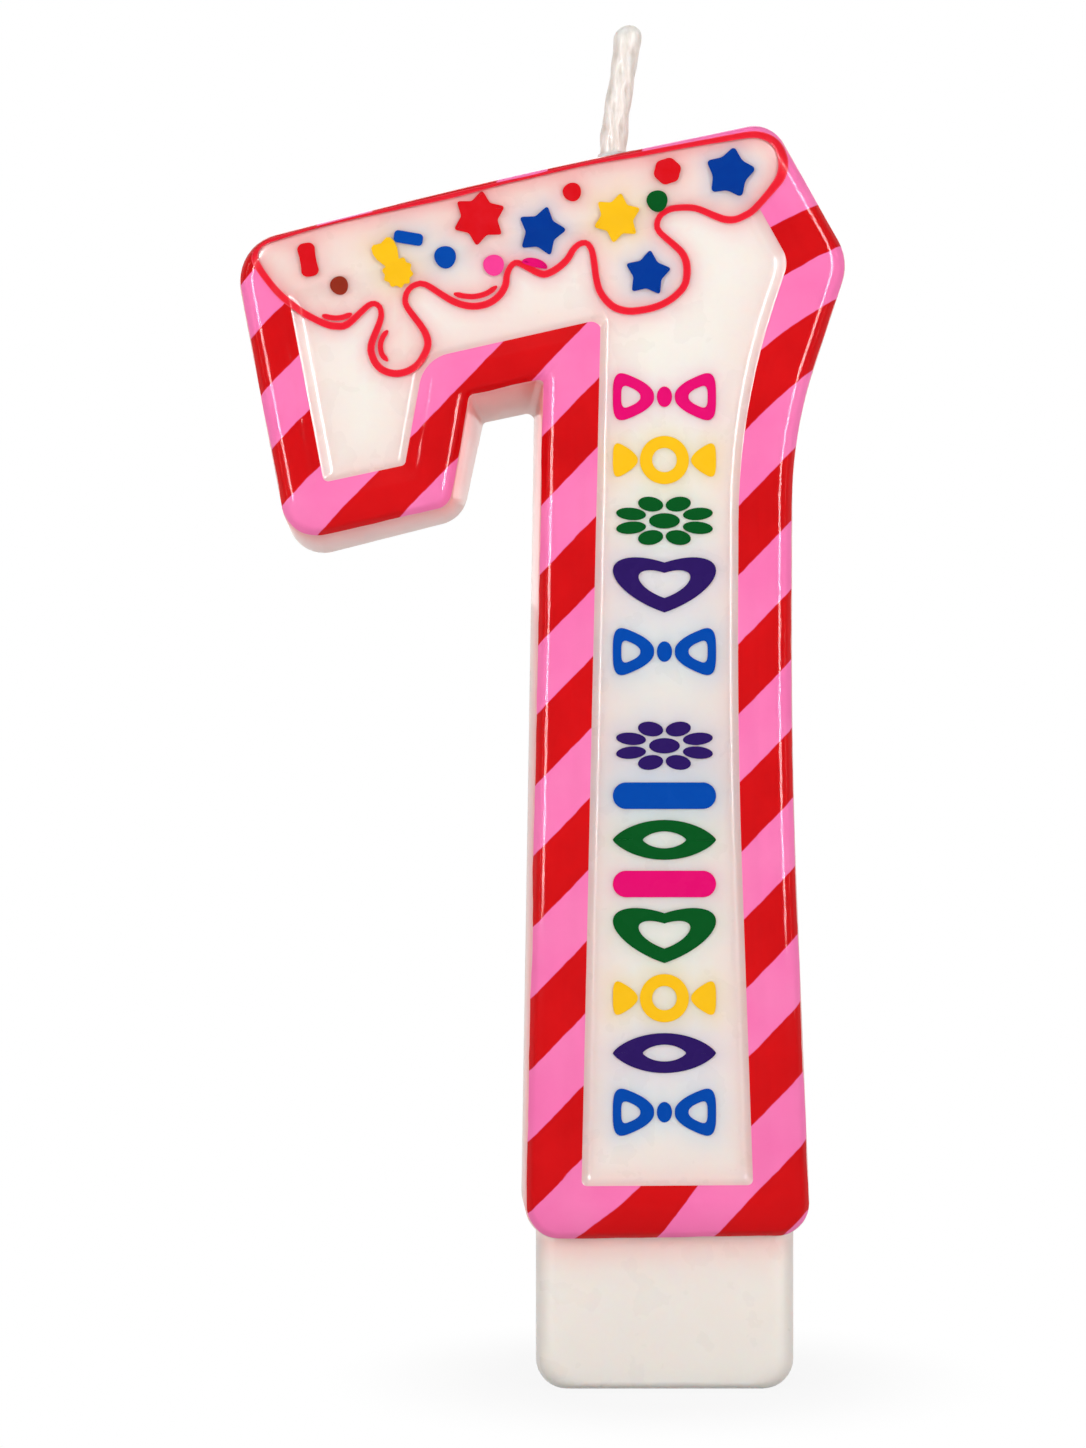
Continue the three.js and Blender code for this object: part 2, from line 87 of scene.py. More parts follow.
def addObject(name, data):
    made = bpy.data.objects.new(name, data)
    bpy.context.scene.collection.objects.link(made)
    return made


def asObject(name, bm, sharpAngle=50):
    mesh = bpy.data.meshes.new(name)
    bm.to_mesh(mesh)
    bm.free()
    mesh.polygons.foreach_set("use_smooth", [True] * len(mesh.polygons))
    mesh.set_sharp_from_angle(angle=radians(sharpAngle))
    return addObject(name, mesh)


def placePiece(piece, material, slotName, *nodes):
    piece.data.materials.clear()
    piece.data.materials.append(material)
    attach(piece, "root")
    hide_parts(*nodes)
    return piece


def cutGrid(bm, step):
    # Straight cuts a step apart, so that the mesh can follow a surface and hold an attribute.
    for axis in (0, 2):
        low = min(v.co[axis] for v in bm.verts)
        high = max(v.co[axis] for v in bm.verts)
        normal = Vector([float(i == axis) for i in range(3)])
        for k in range(ceil(low / (step * mm)), floor(high / (step * mm)) + 1):
            bmesh.ops.bisect_plane(
                bm, geom=bm.verts[:] + bm.edges[:] + bm.faces[:], dist=1e-7,
                plane_co=normal * (k * step * mm), plane_no=normal)


def boolean(piece, other, operation):
    modifier = piece.modifiers.new("cut", "BOOLEAN")
    modifier.operation, modifier.object, modifier.solver = operation, other, "EXACT"
    graph = bpy.context.evaluated_depsgraph_get()
    made = bpy.data.meshes.new_from_object(piece.evaluated_get(graph))
    piece.modifiers.clear()
    piece.data = made
    bpy.data.objects.remove(other)


def merged(piece, step):
    # The piece's mesh with its doubled points joined and the grid cut in. Its object goes.
    bm = bmesh.new()
    bm.from_mesh(piece.data)
    bpy.data.objects.remove(piece)
    bmesh.ops.remove_doubles(bm, verts=bm.verts[:], dist=1e-6)
    cutGrid(bm, step)
    return bm


def treeOf(pieces):
    verts, faces = [], []
    for piece in pieces:
        start = len(verts)
        verts += [v.co for v in piece.data.vertices]
        faces += [[start + i for i in p.vertices] for p in piece.data.polygons]
    return BVHTree.FromPolygons(verts, faces)


def facesOut(bm):
    bmesh.ops.recalc_face_normals(bm, faces=bm.faces[:])


# Rings: the outline moved inwards, with the same number of points at each corner

def cornerRing(corners, insetOf, roundOf, steps):
    ring = []
    for i, here in enumerate(corners):
        before, after = corners[i - 1], corners[(i + 1) % len(corners)]
        d0 = (Vector(here["at"]) - Vector(before["at"])).normalized()
        d1 = (Vector(after["at"]) - Vector(here["at"])).normalized()
        n0, n1 = leftOf(d0), leftOf(d1)
        turn = n0.x * n1.y - n0.y * n1.x
        a, b = insetOf(before), insetOf(here)
        point = Vector(here["at"]) + (b * leftOf(n0) - a * leftOf(n1)) / turn
        radius = roundOf(here, turn)
        angle = asin(turn)
        start = point - d0 * radius * tan(abs(angle) / 2)
        centre = start + n0 * radius * copysign(1, turn)
        for k in range(steps + 1):
            ring.append(centre + Matrix.Rotation(angle * k / steps, 2) @ (start - centre))
    return ring


def setRing(verts, ring, y):
    for v, p in zip(verts, ring):
        v.co = at(p.x, y, p.y)


def circle(bm, segments, capped=False):
    return bmesh.ops.create_circle(bm, cap_ends=capped, segments=segments, radius=mm)["verts"]


def turns(count):
    return [2 * pi * k / count for k in range(count)]


def firstRing(bm, ring, y):
    verts = circle(bm, len(ring))
    setRing(verts, ring, y)
    return verts


def edgesOf(verts, closed=True):
    pairs = zip(verts, verts[1:] + verts[:1]) if closed else zip(verts, verts[1:])
    return [next(e for e in a.link_edges if b in e.verts) for a, b in pairs]


def nextRing(bm, verts, closed=True):
    made = bmesh.ops.extrude_edge_only(bm, edges=edgesOf(verts, closed))["geom"]
    fresh = {g for g in made if isinstance(g, bmesh.types.BMVert)}
    return [next(e.other_vert(v) for e in v.link_edges if e.other_vert(v) in fresh) for v in verts]


def cap(bm, verts):
    bmesh.ops.contextual_create(bm, geom=edgesOf(verts))


def ringStack(bm, rings, capped=True):
    verts = firstRing(bm, *rings[0])
    if capped:
        cap(bm, verts)
    for ring, y in rings[1:]:
        verts = nextRing(bm, verts)
        setRing(verts, ring, y)
    if capped:
        cap(bm, verts)
    facesOut(bm)


def quarter(steps):
    return [pi / 2 * k / steps for k in range(steps + 1)]


# Numeral

numeral = {
    "flag": -26, "shoulder": (6.5, 76.43), "armRise": 12.7, "peak": (-10.5, 0.3), "flagDrop": 0.16,
    "crownDip": 0.06, "crownReach": 4, "frontY": -6.4, "thickness": 12, "rim": 3, "evenRim": 1.15,
    "slope": 0.75, "topRim": 0.75, "topRoll": 1.65, "topSlope": 1.5, "panelRound": 0.35, "backEdge": 0.8,
    "backSteps": 6, "backSink": 0.25, "backRoundLeast": 0.25, "cornerSteps": 10, "mesh": 0.6,
}
rise = radians(numeral["armRise"])


def topEdgeZ(x):
    return numeral["shoulder"][1] - (numeral["shoulder"][0] - x) * tan(rise)


def below(x, drop):
    # A place that far under the arm's top edge.
    return x, topEdgeZ(x) - drop


def corner(place, radius, lean, backRadius, rim, slope, panel=numeral["panelRound"]):
    # lean: how far the back corner lies from the front one. Rim and slope are those of the edge that follows.
    back = place[0] + lean[0], place[1] + lean[1]
    return {"at": place, "back": back, "round": radius, "backRound": backRadius, "panel": panel, "rim": rim,
            "slope": slope, "roll": numeral["rim"], "even": numeral["evenRim"]}


def topCorner(place, radius, lean, backRadius, panel):
    # The rim along the arm's top edge is narrow, and runs down to the panel gently.
    made = corner(place, radius, lean, backRadius, numeral["topRim"], numeral["topSlope"], panel)
    return {**made, "roll": numeral["topRoll"], "even": 0}


outline = [
    corner(below(numeral["flag"], numeral["flagDrop"]), 2.9, (-0.6, 0.4), 2.9, 2.8, 1),
    corner(below(-22.62, 18.7), 2.1, (-0.28, -0.5), 2.3, 3, 0.5),
    corner(below(-12.85, 18.85), 1, (0.5, -0.1), 2.1, 3.1, 0.55),
    corner(below(-11.65, 12.42), 0.4, (0.6, -0.73), 0.3, 2.7, 0.55, 2.2),
    corner(below(-7.48, 12.42), 0.4, (-0.55, -1.03), 0.5, 3.35, 0.55, 0.6),
    corner((-8.4, 9.32), 2, (-0.28, -0.6), 2.2, 3.2, 0.5),
    corner((8.7, 9.4), 2, (0.7, -0.6), 2.2, 3.3, 0.55),
    corner((7.68, 39.2), 400, (0.6, 0), 400, 3.3, 0.55, 400),
    corner((7.74, 57.7), 26, (0.35, 0), 26, 3.5, 0.9, 42),
    corner((11.16, 68.1), 3, (0.4, 0.1), 3.1, 3.3, 1, 1.6),
    topCorner(numeral["shoulder"], 2, (0.34, 0.6), 2.4, 1.35),
    topCorner(below(numeral["peak"][0], -numeral["peak"][1]), 300, (0, 0.6), 300, 300),
]

# The rim's section: how far in from the edge, and how deep. It rises round the outside, has a low
# crown, and rolls over the inner edge down to the panel.
rimSection = [
    (0, 1.35), (0.02, 1.12), (0.075, 0.9), (0.17, 0.68), (0.31, 0.48), (0.4, 0.372), (0.49, 0.296),
    (0.58, 0.257), (0.68, 0.217), (0.78, 0.18), (0.88, 0.147), (0.98, 0.117), (1.1, 0.086), (1.25, 0.055),
    (1.42, 0.027), (1.65, 0.006), (1.95, 0.01), (2.14, 0.05), (2.3, 0.104), (2.46, 0.162), (2.62, 0.2),
    (2.82, 0.234), (3, 0.272),
]
slopeSection = [
    (3.08, 0.315), (3.18, 0.395), (3.3, 0.49), (3.42, 0.58), (3.54, 0.645), (3.68, 0.684), (3.84, 0.698),
    (4.02, 0.7),
]
# The poured side sinks a little as the wax cools: how far in from the edge, and the share of the sink.
sinkSection = [(2.6, 1), (2.2, 0.93), (1.8, 0.6), (1.45, 0.2), (1.1, 0.02)]


def bodyRing(inset, depth):
    # The outer part of the rim is the same all round. The rest of it, and the slope past it, follow the
    # width that each edge has.
    def insetOf(edge):
        even = edge["even"]
        inner = (min(inset, edge["roll"]) - even) / (edge["roll"] - even)
        onRim = inset if inset < even else even + inner * (edge["rim"] - even)
        return onRim + max(inset - edge["roll"], 0) / numeral["slope"] * edge["slope"]

    def roundOf(here, _):
        share = min(inset / numeral["rim"], 1)
        return here["round"] + (here["panel"] - here["round"]) * share

    return cornerRing(outline, insetOf, roundOf, numeral["cornerSteps"]), numeral["frontY"] + depth


def backRing(inset, depth):
    corners = [{**c, "at": c["back"]} for c in outline]

    def roundOf(here, turn):
        return max(here["backRound"] - inset * copysign(1, turn), numeral["backRoundLeast"])

    return cornerRing(corners, lambda _: inset, roundOf, numeral["cornerSteps"]), numeral["frontY"] + depth


def numeralPiece():
    radius, thick = numeral["backEdge"], numeral["thickness"]
    sunk = [backRing(inset, thick - numeral["backSink"] * sink) for inset, sink in sinkSection]
    back = [backRing(radius * (1 - sin(t)), thick - radius * (1 - cos(t)))
            for t in quarter(numeral["backSteps"])]
    bm = bmesh.new()
    ringStack(bm, sunk + back + [bodyRing(*p) for p in rimSection + slopeSection])
    return asObject("waxBody", bm)


# Foot

foot = {
    "left": -7.72, "right": 7.88, "height": 9.2, "front": -5.1, "back": 4.7, "round": 1.8, "edge": 1.4,
    "underEdge": 0.6, "hidden": 3, "steps": 8,
}


def footPiece():
    left, right, top = foot["left"], foot["right"], foot["height"] + foot["hidden"]
    sides = [{"at": place} for place in ((left, 0), (right, 0), (right, top), (left, top))]

    def ring(inset, y):
        # The underside's edge, which is the first, is sharper than the rest.
        def insetOf(side):
            return inset * (foot["underEdge"] / foot["edge"] if side is sides[0] else 1)
        return cornerRing(sides, insetOf, lambda *_: foot["round"], foot["steps"]), y

    edge, bend = foot["edge"], quarter(foot["steps"])
    back = [ring(edge * (1 - sin(t)), foot["back"] - edge * (1 - cos(t))) for t in bend]
    front = [ring(edge * (1 - cos(t)), foot["front"] + edge * (1 - sin(t))) for t in bend]
    bm = bmesh.new()
    ringStack(bm, back + front)
    return asObject("foot", bm)


# The hole that holds the wick, and the wax drawn up round it

hole = {
    "mouth": (-2.97, 74.31), "y": -0.4, "floor": 4.3, "grip": 0.84,
    "collar": [  # how far out, and how high over the mouth
        (2.3, -1.4), (1.85, -0.75), (1.5, -0.28), (1.27, 0.1), (1.12, 0.38), (1.02, 0.62), (0.94, 0.84),
        (0.87, 1.04),
    ],
    "collarSides": 40, "collarTilt": 0.6, "collarShift": 0.05, "boreUnder": 0.2, "boreRows": (-1, 3),
}


def spunPiece(name, profile, up=0, shift=0, lean=0):
    # profile: how far out, and how high, from the bottom up.
    bm = bmesh.new()
    verts = circle(bm, hole["collarSides"], True)
    for i, (radius, height) in enumerate(profile):
        if i:
            verts = nextRing(bm, verts)
        for v in verts:
            turn = atan2(v.co.y, v.co.x)
            v.co = at(radius * cos(turn), radius * sin(turn), height)
    cap(bm, verts)
    facesOut(bm)
    bmesh.ops.rotate(bm, verts=bm.verts[:], cent=(0, 0, 0), matrix=Matrix.Rotation(-lean, 3, "Y"))
    bmesh.ops.translate(bm, verts=bm.verts[:], vec=at(hole["mouth"][0] + shift, hole["y"], up))
    return asObject(name, bm)


def waxPiece():
    body, z = numeralPiece(), hole["mouth"][1]
    lean = rise * hole["collarTilt"]
    boolean(body, footPiece(), "UNION")
    boolean(body, spunPiece("collar", hole["collar"], z, hole["collarShift"], lean), "UNION")
    heights = [hole["floor"] - hole["boreUnder"]] + [z + row for row in hole["boreRows"]]
    boolean(body, spunPiece("bore", [(hole["grip"], height) for height in heights]), "DIFFERENCE")
    return asObject("waxBody", merged(body, numeral["mesh"]))


wax = waxPiece()
waxTree = treeOf([wax])
print("wax body:", len(wax.data.polygons), "faces")


# Prints lie on the wax: each point is dropped onto it from the front

dropFrom = -30


def drape(bm, lift):
    for v in bm.verts:
        hit = waxTree.ray_cast(Vector((v.co.x, dropFrom * mm, v.co.z)), Vector((0, 1, 0)))[0]
        if hit:
            v.co.y = hit.y - lift * mm


def thicken(bm, thickness):
    # The skin becomes the inner side, and its copy in front the outer side.
    made = bmesh.ops.extrude_face_region(bm, geom=bm.faces[:], use_keep_orig=True)["geom"]
    front = [g for g in made if isinstance(g, bmesh.types.BMVert)]
    bmesh.ops.translate(bm, verts=front, vec=at(0, -thickness, 0))
    facesOut(bm)


# Icing outline: one closed printed line over the drips and along the arm's top edge

icing = {
    "line": [
        (-23.85, 69.1), (-24.35, 68.75), (-24.55, 68.2), (-24.25, 67.45), (-23.1, 66), (-21.75, 64.95),
        (-20.4, 64.25), (-19.65, 64.1), (-19.05, 64.2), (-18.15, 65), (-17.75, 65.35), (-17.4, 65.45),
        (-17.1, 65.25), (-17, 64.85), (-17.1, 64.3), (-17.6, 62.95), (-17.5, 62.2), (-17.15, 61.65),
        (-16.65, 61.35), (-16.05, 61.25), (-15.4, 61.4), (-14.8, 61.8), (-14.4, 62.4), (-14.2, 63),
        (-14.3, 63.55), (-14.6, 64.1), (-15.45, 65.25), (-15.55, 65.8), (-15.35, 66.3), (-14.9, 66.6),
        (-14.35, 66.6), (-13.3, 65.95), (-12.7, 65.6), (-12, 65.35), (-11.25, 65.3), (-10.5, 65.5),
        (-9.9, 65.95), (-9.55, 66.55), (-9.45, 67.2), (-9.25, 67.65), (-8.95, 67.9), (-8.55, 67.8),
        (-7.45, 67.25), (-6.9, 67.3), (-6.25, 67.7), (-5.8, 68.15), (-5.5, 68.65), (-5.15, 69),
        (-4.75, 69.1), (-4.45, 68.85), (-4.3, 68.4), (-4.2, 67.75), (-4.1, 67), (-3.9, 66.25),
        (-3.5, 65.65), (-2.95, 65.2), (-2.2, 65), (-1.45, 65.05), (-0.7, 65.2), (0.05, 65.5),
        (0.7, 65.95), (1.2, 66.55), (1.35, 67.25), (1.3, 67.95), (1.05, 68.5), (0.6, 68.95),
        (-0.3, 69.75), (-0.45, 70.2), (-0.3, 70.65), (0.05, 70.95), (0.65, 71.15), (1.85, 71.15),
        (3.05, 70.7), (3.65, 70.5), (4.25, 70.5), (4.85, 70.75), (5.4, 71.1), (6.4, 72.2),
        (6.95, 73), (7.1, 73.9), (6.9, 74.7), (6.5, 75.15), (6, 75.4), (5.4, 75.5),
    ],
    # along the arm's top edge: x, how far in from the edge, and width
    "top": [
        (4.6, 0.6, 0.4), (3.3, 0.56, 0.38), (1, 0.48, 0.33), (-1.5, 0.43, 0.32), (-4, 0.33, 0.24),
        (-6.3, 0.33, 0.22), (-8, 0.38, 0.18), (-9.7, 0.38, 0.2), (-12.5, 0.42, 0.34), (-14, 0.4, 0.31),
        (-15.9, 0.35, 0.27), (-18.3, 0.29, 0.18), (-20, 0.26, 0.17), (-21.6, 0.28, 0.2), (-22.9, 0.34, 0.26),
    ],
    "topBand": (-1.2, 0.6), "width": 0.41, "swell": 0.07, "cornerWidth": 0.2, "cornerAt": (7, 73.8),
    "cornerReach": 1.3, "uneven": 0.09, "unevenScale": 1.1, "unevenSeed": 3, "step": 0.22, "lift": 0.08,
    "thickness": 0.03,
    "strokes": {
        "icing_stroke_flag": [
            (-20.55, 64.75), (-20.1, 64.62), (-19.65, 64.58), (-19.2, 64.66), (-18.75, 64.85)],
        "icing_stroke_drip": [
            (-16.6, 63.85), (-16.9, 63.45), (-17.05, 62.95), (-16.95, 62.4), (-16.6, 62)],
        "icing_stroke_middle": [
            (-12.65, 66.05), (-12, 65.9), (-11.35, 65.88), (-10.65, 66.08), (-10.05, 66.5)],
    },
    "strokeWidth": 0.34, "strokeStep": 0.12, "strokeTip": 0.35, "strokeTaper": 5, "areaStep": 0.5,
    "section": [(-0.5, 0), (-0.3, 1), (0, 1), (0.3, 1), (0.5, 0)],  # share of a line's width, and ink
}


def crownZ(x):
    # The arm's top edge bulges a little between its two ends.
    peak, high = numeral["peak"]
    left = (high + numeral["flagDrop"]) / (peak - numeral["flag"]) * max(peak - x, 0)
    right = high / (numeral["shoulder"][0] - peak) * max(x - peak, 0)
    dip = numeral["crownDip"] * exp(-((x - peak) / numeral["crownReach"]) ** 2)
    return topEdgeZ(x) + high - left - right - dip


def between(table, x, column=1):
    # A value from a table of rows that start with x, from high x to low x.
    for low, high in zip(table[1:], table):
        if x >= low[0]:
            share = min((x - low[0]) / (high[0] - low[0]), 1)
            return low[column] + (high[column] - low[column]) * share
    return table[-1][column]


def padded(values, closed):
    # Neighbours for both ends: those past the joint of a closed line, or the end itself.
    return values[-1:] + values + values[:2] if closed else values[:1] + values + values[-1:]


def curveThrough(points, closed, step):
    # A Catmull-Rom curve as evenly spaced stations: place, direction and bend (positive turns left).
    points = [Vector(p) for p in points]
    chain, stations = padded(points, closed), []
    for a, b, c, d in zip(chain, chain[1:], chain[2:], chain[3:]):
        pieces = max(2, round((c - b).length / step))
        for t in [k / pieces for k in range(pieces)]:
            stations.append(0.5 * (2 * b + (c - a) * t + (2 * a - 5 * b + 4 * c - d) * t ** 2
                                   + (3 * b - a - 3 * c + d) * t ** 3))
    if not closed:
        stations.append(points[-1])
    chain, result = padded(stations, closed), []
    for before, here, after in zip(chain, stations, chain[2:]):
        bend = 0
        a, b, whole = here - before, after - here, after - before
        if min(a.length, b.length) > 1e-6:
            bend = a.normalized().cross(b.normalized()) / (whole.length / 2)
        result.append((here, whole.normalized(), bend))
    return result


def smoothed(values, closed, passes=6):
    for _ in range(passes):
        chain = padded(values, closed)
        values = [(a + 2 * v + b) / 4 for a, v, b in zip(chain, values, chain[2:])]
    return values


def ribbon(name, stations, widths, closed):
    bm = bmesh.new()
    inked = bm.verts.layers.float.new("ink")
    if closed:
        verts = circle(bm, len(stations))
    else:
        verts = [bm.verts.new() for _ in stations]
        for pair in zip(verts, verts[1:]):
            bm.edges.new(pair)
    for i, (share, ink) in enumerate(icing["section"]):
        if i:
            verts = nextRing(bm, verts, closed)
        ring = [here + leftOf(along) * width * share for (here, along, _), width in zip(stations, widths)]
        setRing(verts, ring, 0)
        for v in verts:
            v[inked] = ink
    drape(bm, icing["lift"])
    thicken(bm, icing["thickness"])
    return asObject(name, bm)


def icingLoop(step):
    top = [(x, crownZ(x) - inset / cos(rise)) for x, inset, _ in icing["top"]]
    return curveThrough(icing["line"] + top, True, step)


def icingArea():
    return [place for place, _, _ in icingLoop(icing["areaStep"])]


def icingOutline():
    stations = icingLoop(icing["step"])
    bends = smoothed([tanh(s[2]) for s in stations], True)
    widths = []
    for (here, _, _), bend in zip(stations, bends):
        atTop = ramp(here.y - crownZ(here.x), *icing["topBand"]) if here.x < icing["top"][0][0] else 0
        away = (here - Vector(icing["cornerAt"])).length / icing["cornerReach"]
        width = icing["width"] + icing["swell"] * bend + icing["cornerWidth"] * exp(-away ** 2)
        width = width * (1 - atTop) + between(icing["top"], here.x, 2) * atTop
        uneven = icing["uneven"] * noiseAt(*(here * icing["unevenScale"]), icing["unevenSeed"])
        widths.append(width * (1 + uneven))
    return ribbon("icingOutline", stations, smoothed(widths, True), True)


def icingStroke(nodeName):
    stations = curveThrough(icing["strokes"][nodeName], False, icing["strokeStep"])
    total = len(stations) - 1
    ends = [icing["strokeTaper"] * min(i, total - i) / total for i in range(total + 1)]
    widths = [icing["strokeWidth"] * min(1, icing["strokeTip"] + end) for end in ends]
    return ribbon(pieceName(nodeName), stations, widths, False)


# Candy-stripe film over the rim's outside and front, open where the icing lies

film = {
    "start": [(0.05, 0.98), (0.22, 0.6)],  # its outer edge wanders between these two places of the rim
    "ringsFrom": 0.25, "lift": 0.02, "thickness": 0.04, "mesh": 0.7, "icingFrom": -9, "icingTo": -4.2,
    "wander": 0.2, "wanderScales": (220, 900), "wanderSeed": 1.5, "wanderBand": 0.12,
    "slant": 1.035, "firstRed": 35.82, "pitch": 7.86, "widening": 0.039, "top": 124.788,
    # on the shoulder the stripes lie flatter, and at the foot they hang a little lower
    "shoulder": {"x": 2.5, "z": 57.7, "height": 12.84, "flatter": 0.43, "pivot": 7.53, "climb": 2.26,
                 "power": 1.5, "least": 55.9},
    "foot": {"z": 13, "shift": 1.05, "middle": -1.5, "reach": 3},
    # the strip above the icing: x and stripe, from the shoulder to the flag
    "topStripes": [
        (6.6, 1.99), (-1.35, 1.5), (-7, 1), (-9.95, 0.5), (-17.5, 0), (-20.8, -0.5), (-25.9, -0.9),
    ],
    "topFrom": -24.5, "topTo": 5.5, "topDeep": 1.1,
}


def stripePhase(x, z):
    # Whole numbers where a red stripe starts: the stripes run up to the right, a little wider further down.
    slant, high, low = film["slant"], film["shoulder"], film["foot"]
    place = film["top"] - z + slant * x
    if x > high["x"] and z > high["z"]:
        share = (z - high["z"]) / high["height"]
        flatter = slant - high["flatter"] * min(share, 1)
        place = film["top"] - z + slant * high["pivot"] + flatter * (x - high["pivot"])
        place = max(place - high["climb"] * share ** high["power"], high["least"])
    if z < low["z"]:
        place -= low["shift"] * exp(-((x - low["middle"]) / low["reach"]) ** 2)
    a, b = film["pitch"], film["widening"]
    return (-a + sqrt(max(a * a + 4 * b * (place - film["firstRed"]), 0))) / (2 * b)


def facePhase(x, z):
    # The rule that a face of the film follows: the strip over the icing has its own.
    if film["topFrom"] < x < film["topTo"] and crownZ(x) - z < film["topDeep"]:
        return lambda x, _: between(film["topStripes"], x)
    return stripePhase


def wanderEdge(bm):
    # The film was laid by hand, so its outer edge wanders up and down the wax.
    edgeY = numeral["frontY"] + sum(depth for _, depth in film["start"]) / 2 - film["wanderBand"]
    coarse, fine = film["wanderScales"]
    for v in bm.verts:
        if v.co.y < edgeY * mm:
            continue
        found, _, _, away = waxTree.find_nearest(v.co)
        shift = noiseAt(v.co.x * coarse, film["wanderSeed"], v.co.z * coarse) + noiseAt(*(v.co * fine)) / 2
        near = waxTree.find_nearest(v.co + at(0, film["wander"] * shift, 0))[0]
        v.co = near + (v.co - found).normalized() * away


def filmPiece():
    bm = bmesh.new()
    (outer, outerY), (inner, innerY) = [bodyRing(*p) for p in film["start"]]
    start = [(a + b) / 2 for a, b in zip(outer, inner)], (outerY + innerY) / 2
    rings = [bodyRing(*p) for p in rimSection if p[0] > film["ringsFrom"]]
    ringStack(bm, [start] + rings, capped=False)
    if sum(f.normal.y * f.calc_area() for f in bm.faces) > 0:
        bmesh.ops.reverse_faces(bm, faces=bm.faces[:])
    bm.normal_update()
    for v in bm.verts:
        v.co += v.normal * (film["lift"] + film["thickness"]) * mm
    bmesh.ops.solidify(bm, geom=bm.faces[:], thickness=film["thickness"] * mm)
    facesOut(bm)
    piece = asObject("stripeFilm", bm)
    area, opening = icingArea(), bmesh.new()
    ringStack(opening, [(area, film["icingFrom"]), (area, film["icingTo"])])
    boolean(piece, asObject("icingOpening", opening), "DIFFERENCE")
    bm = merged(piece, film["mesh"])
    wanderEdge(bm)
    phase = bm.loops.layers.float.new("stripe")
    for face in bm.faces:
        middle = face.calc_center_median() / mm
        rule = facePhase(middle.x, middle.z)
        for loop in face.loops:
            loop[phase] = rule(loop.vert.co.x / mm, loop.vert.co.z / mm)
    return asObject("stripeFilm", bm)


# Sprinkles and marks: flat shapes, then turned, put in place and draped

def roundFace(segments, reach):
    # A disc whose outline is reach(angle), as a length or as a point.
    bm = bmesh.new()
    for turn, v in zip(turns(segments), circle(bm, segments, True)):
        r = reach(turn)
        x, z = (r * cos(turn), r * sin(turn)) if isinstance(r, (int, float)) else r
        v.co = at(x, 0, z)
    return bm


def ringed(reach, inner, segments=48, centre=(0, 0)):
    # A band between an outline and its smaller copy.
    bm = bmesh.new()
    middle = Vector(centre)
    outer = [Vector(reach(turn)) for turn in turns(segments)]
    verts = nextRing(bm, firstRing(bm, outer, 0))
    setRing(verts, [middle + (p - middle) * inner for p in outer], 0)
    return bm


def together(*parts):
    # Shapes beside each other, each with how far it moves across.
    whole = bmesh.new()
    for bm, across in parts:
        bmesh.ops.translate(bm, verts=bm.verts[:], vec=at(across, 0, 0))
        mesh = bpy.data.meshes.new("part")
        bm.to_mesh(mesh)
        bm.free()
        whole.from_mesh(mesh)
        bpy.data.meshes.remove(mesh)
    return whole


def softened(bm, offset, verts=None):
    bmesh.ops.bevel(bm, geom=verts or bm.verts[:], offset=offset * mm, offset_type="OFFSET", segments=4,
                    profile=0.5, affect="VERTICES", material=-1, clamp_overlap=True)
    return bm


def eased(value, power):
    return copysign(abs(value) ** power, value)


def oval(width, height):
    # Half the width and half the height.
    return lambda t: (width * cos(t), height * sin(t))


def pointed(points, size, inner, tip=0.2, valley=0.12):
    def reach(t):
        r = inner if round(t * points / pi) % 2 else size
        return r * cos(t + pi / 2), r * sin(t + pi / 2)
    bm = roundFace(points * 2, reach)
    verts = bm.verts[:]
    softened(bm, valley, verts[1::2])
    return softened(bm, tip, verts[::2])


def petals(count, width, height, lobe):
    def reach(t):
        r = (1 + lobe * cos(count * t)) / (1 + lobe) / 2
        return oval(width * r, height * r)(t)
    return roundFace(48, reach)


def disc(radius, dent=0.03):
    # Each size has its dents at another place.
    return roundFace(32, lambda t: radius * (1 + dent * sin(3 * t + radius * 9)))


def rod(length, width):
    def reach(t):
        return copysign((length - width) / 2, cos(t)) + width / 2 * cos(t), width / 2 * sin(t)
    return roundFace(34, reach)


def bone(length, width, waist, waistReach=0.6, ends=0.75, sides=0.6):
    def reach(t):
        thin = 1 - waist * max(1 - (cos(t) / waistReach) ** 2, 0)
        return length / 2 * eased(cos(t), ends), width / 2 * eased(sin(t), sides) * thin
    return roundFace(56, reach)


def block(length, width, tip=0.24):
    bm = bmesh.new()
    corners = [(length / 2 * a, width / 2 * b) for a, b in ((-1, -1), (1, -1), (1, 1), (-1, 1))]
    bm.faces.new([bm.verts.new(at(x, 0, z)) for x, z in corners])
    return softened(bm, tip)


def twinDots(upper, lower, spacing, bump=0.085, bumps=10):
    def reach(t):
        across = upper ** 2 - (spacing * cos(t)) ** 2
        outer = spacing * sin(t) + sqrt(across) if across > 0 and sin(t) > 0 else 0
        return max(lower, outer) * (1 + bump * cos(bumps * t))
    return roundFace(60, reach)


def halfDisc(width, height, under=0.25):
    return roundFace(32, lambda t: (width / 2 * cos(t), height * sin(t) * (1 if sin(t) > 0 else under)))


def wing(length, height, neck, blunt=0.6, flare=0.8):
    # A loop of ribbon that widens from its neck to its outer end. A length below zero turns it round.
    def reach(t):
        across = (1 + eased(cos(t), blunt)) / 2
        half = neck + (height / 2 - neck) * across ** flare
        return length * across, half * eased(sin(t), blunt)
    return reach


def bow(width, height, start=0.62, knot=0.46, neck=0.5, band=0.46, middle=0.62):
    def loop(side):
        length = side * (width / 2 - start)
        return ringed(wing(length, height, neck), band, centre=(length * middle, 0)), side * start
    return together(loop(1), loop(-1), (roundFace(24, oval(knot, start)), 0))


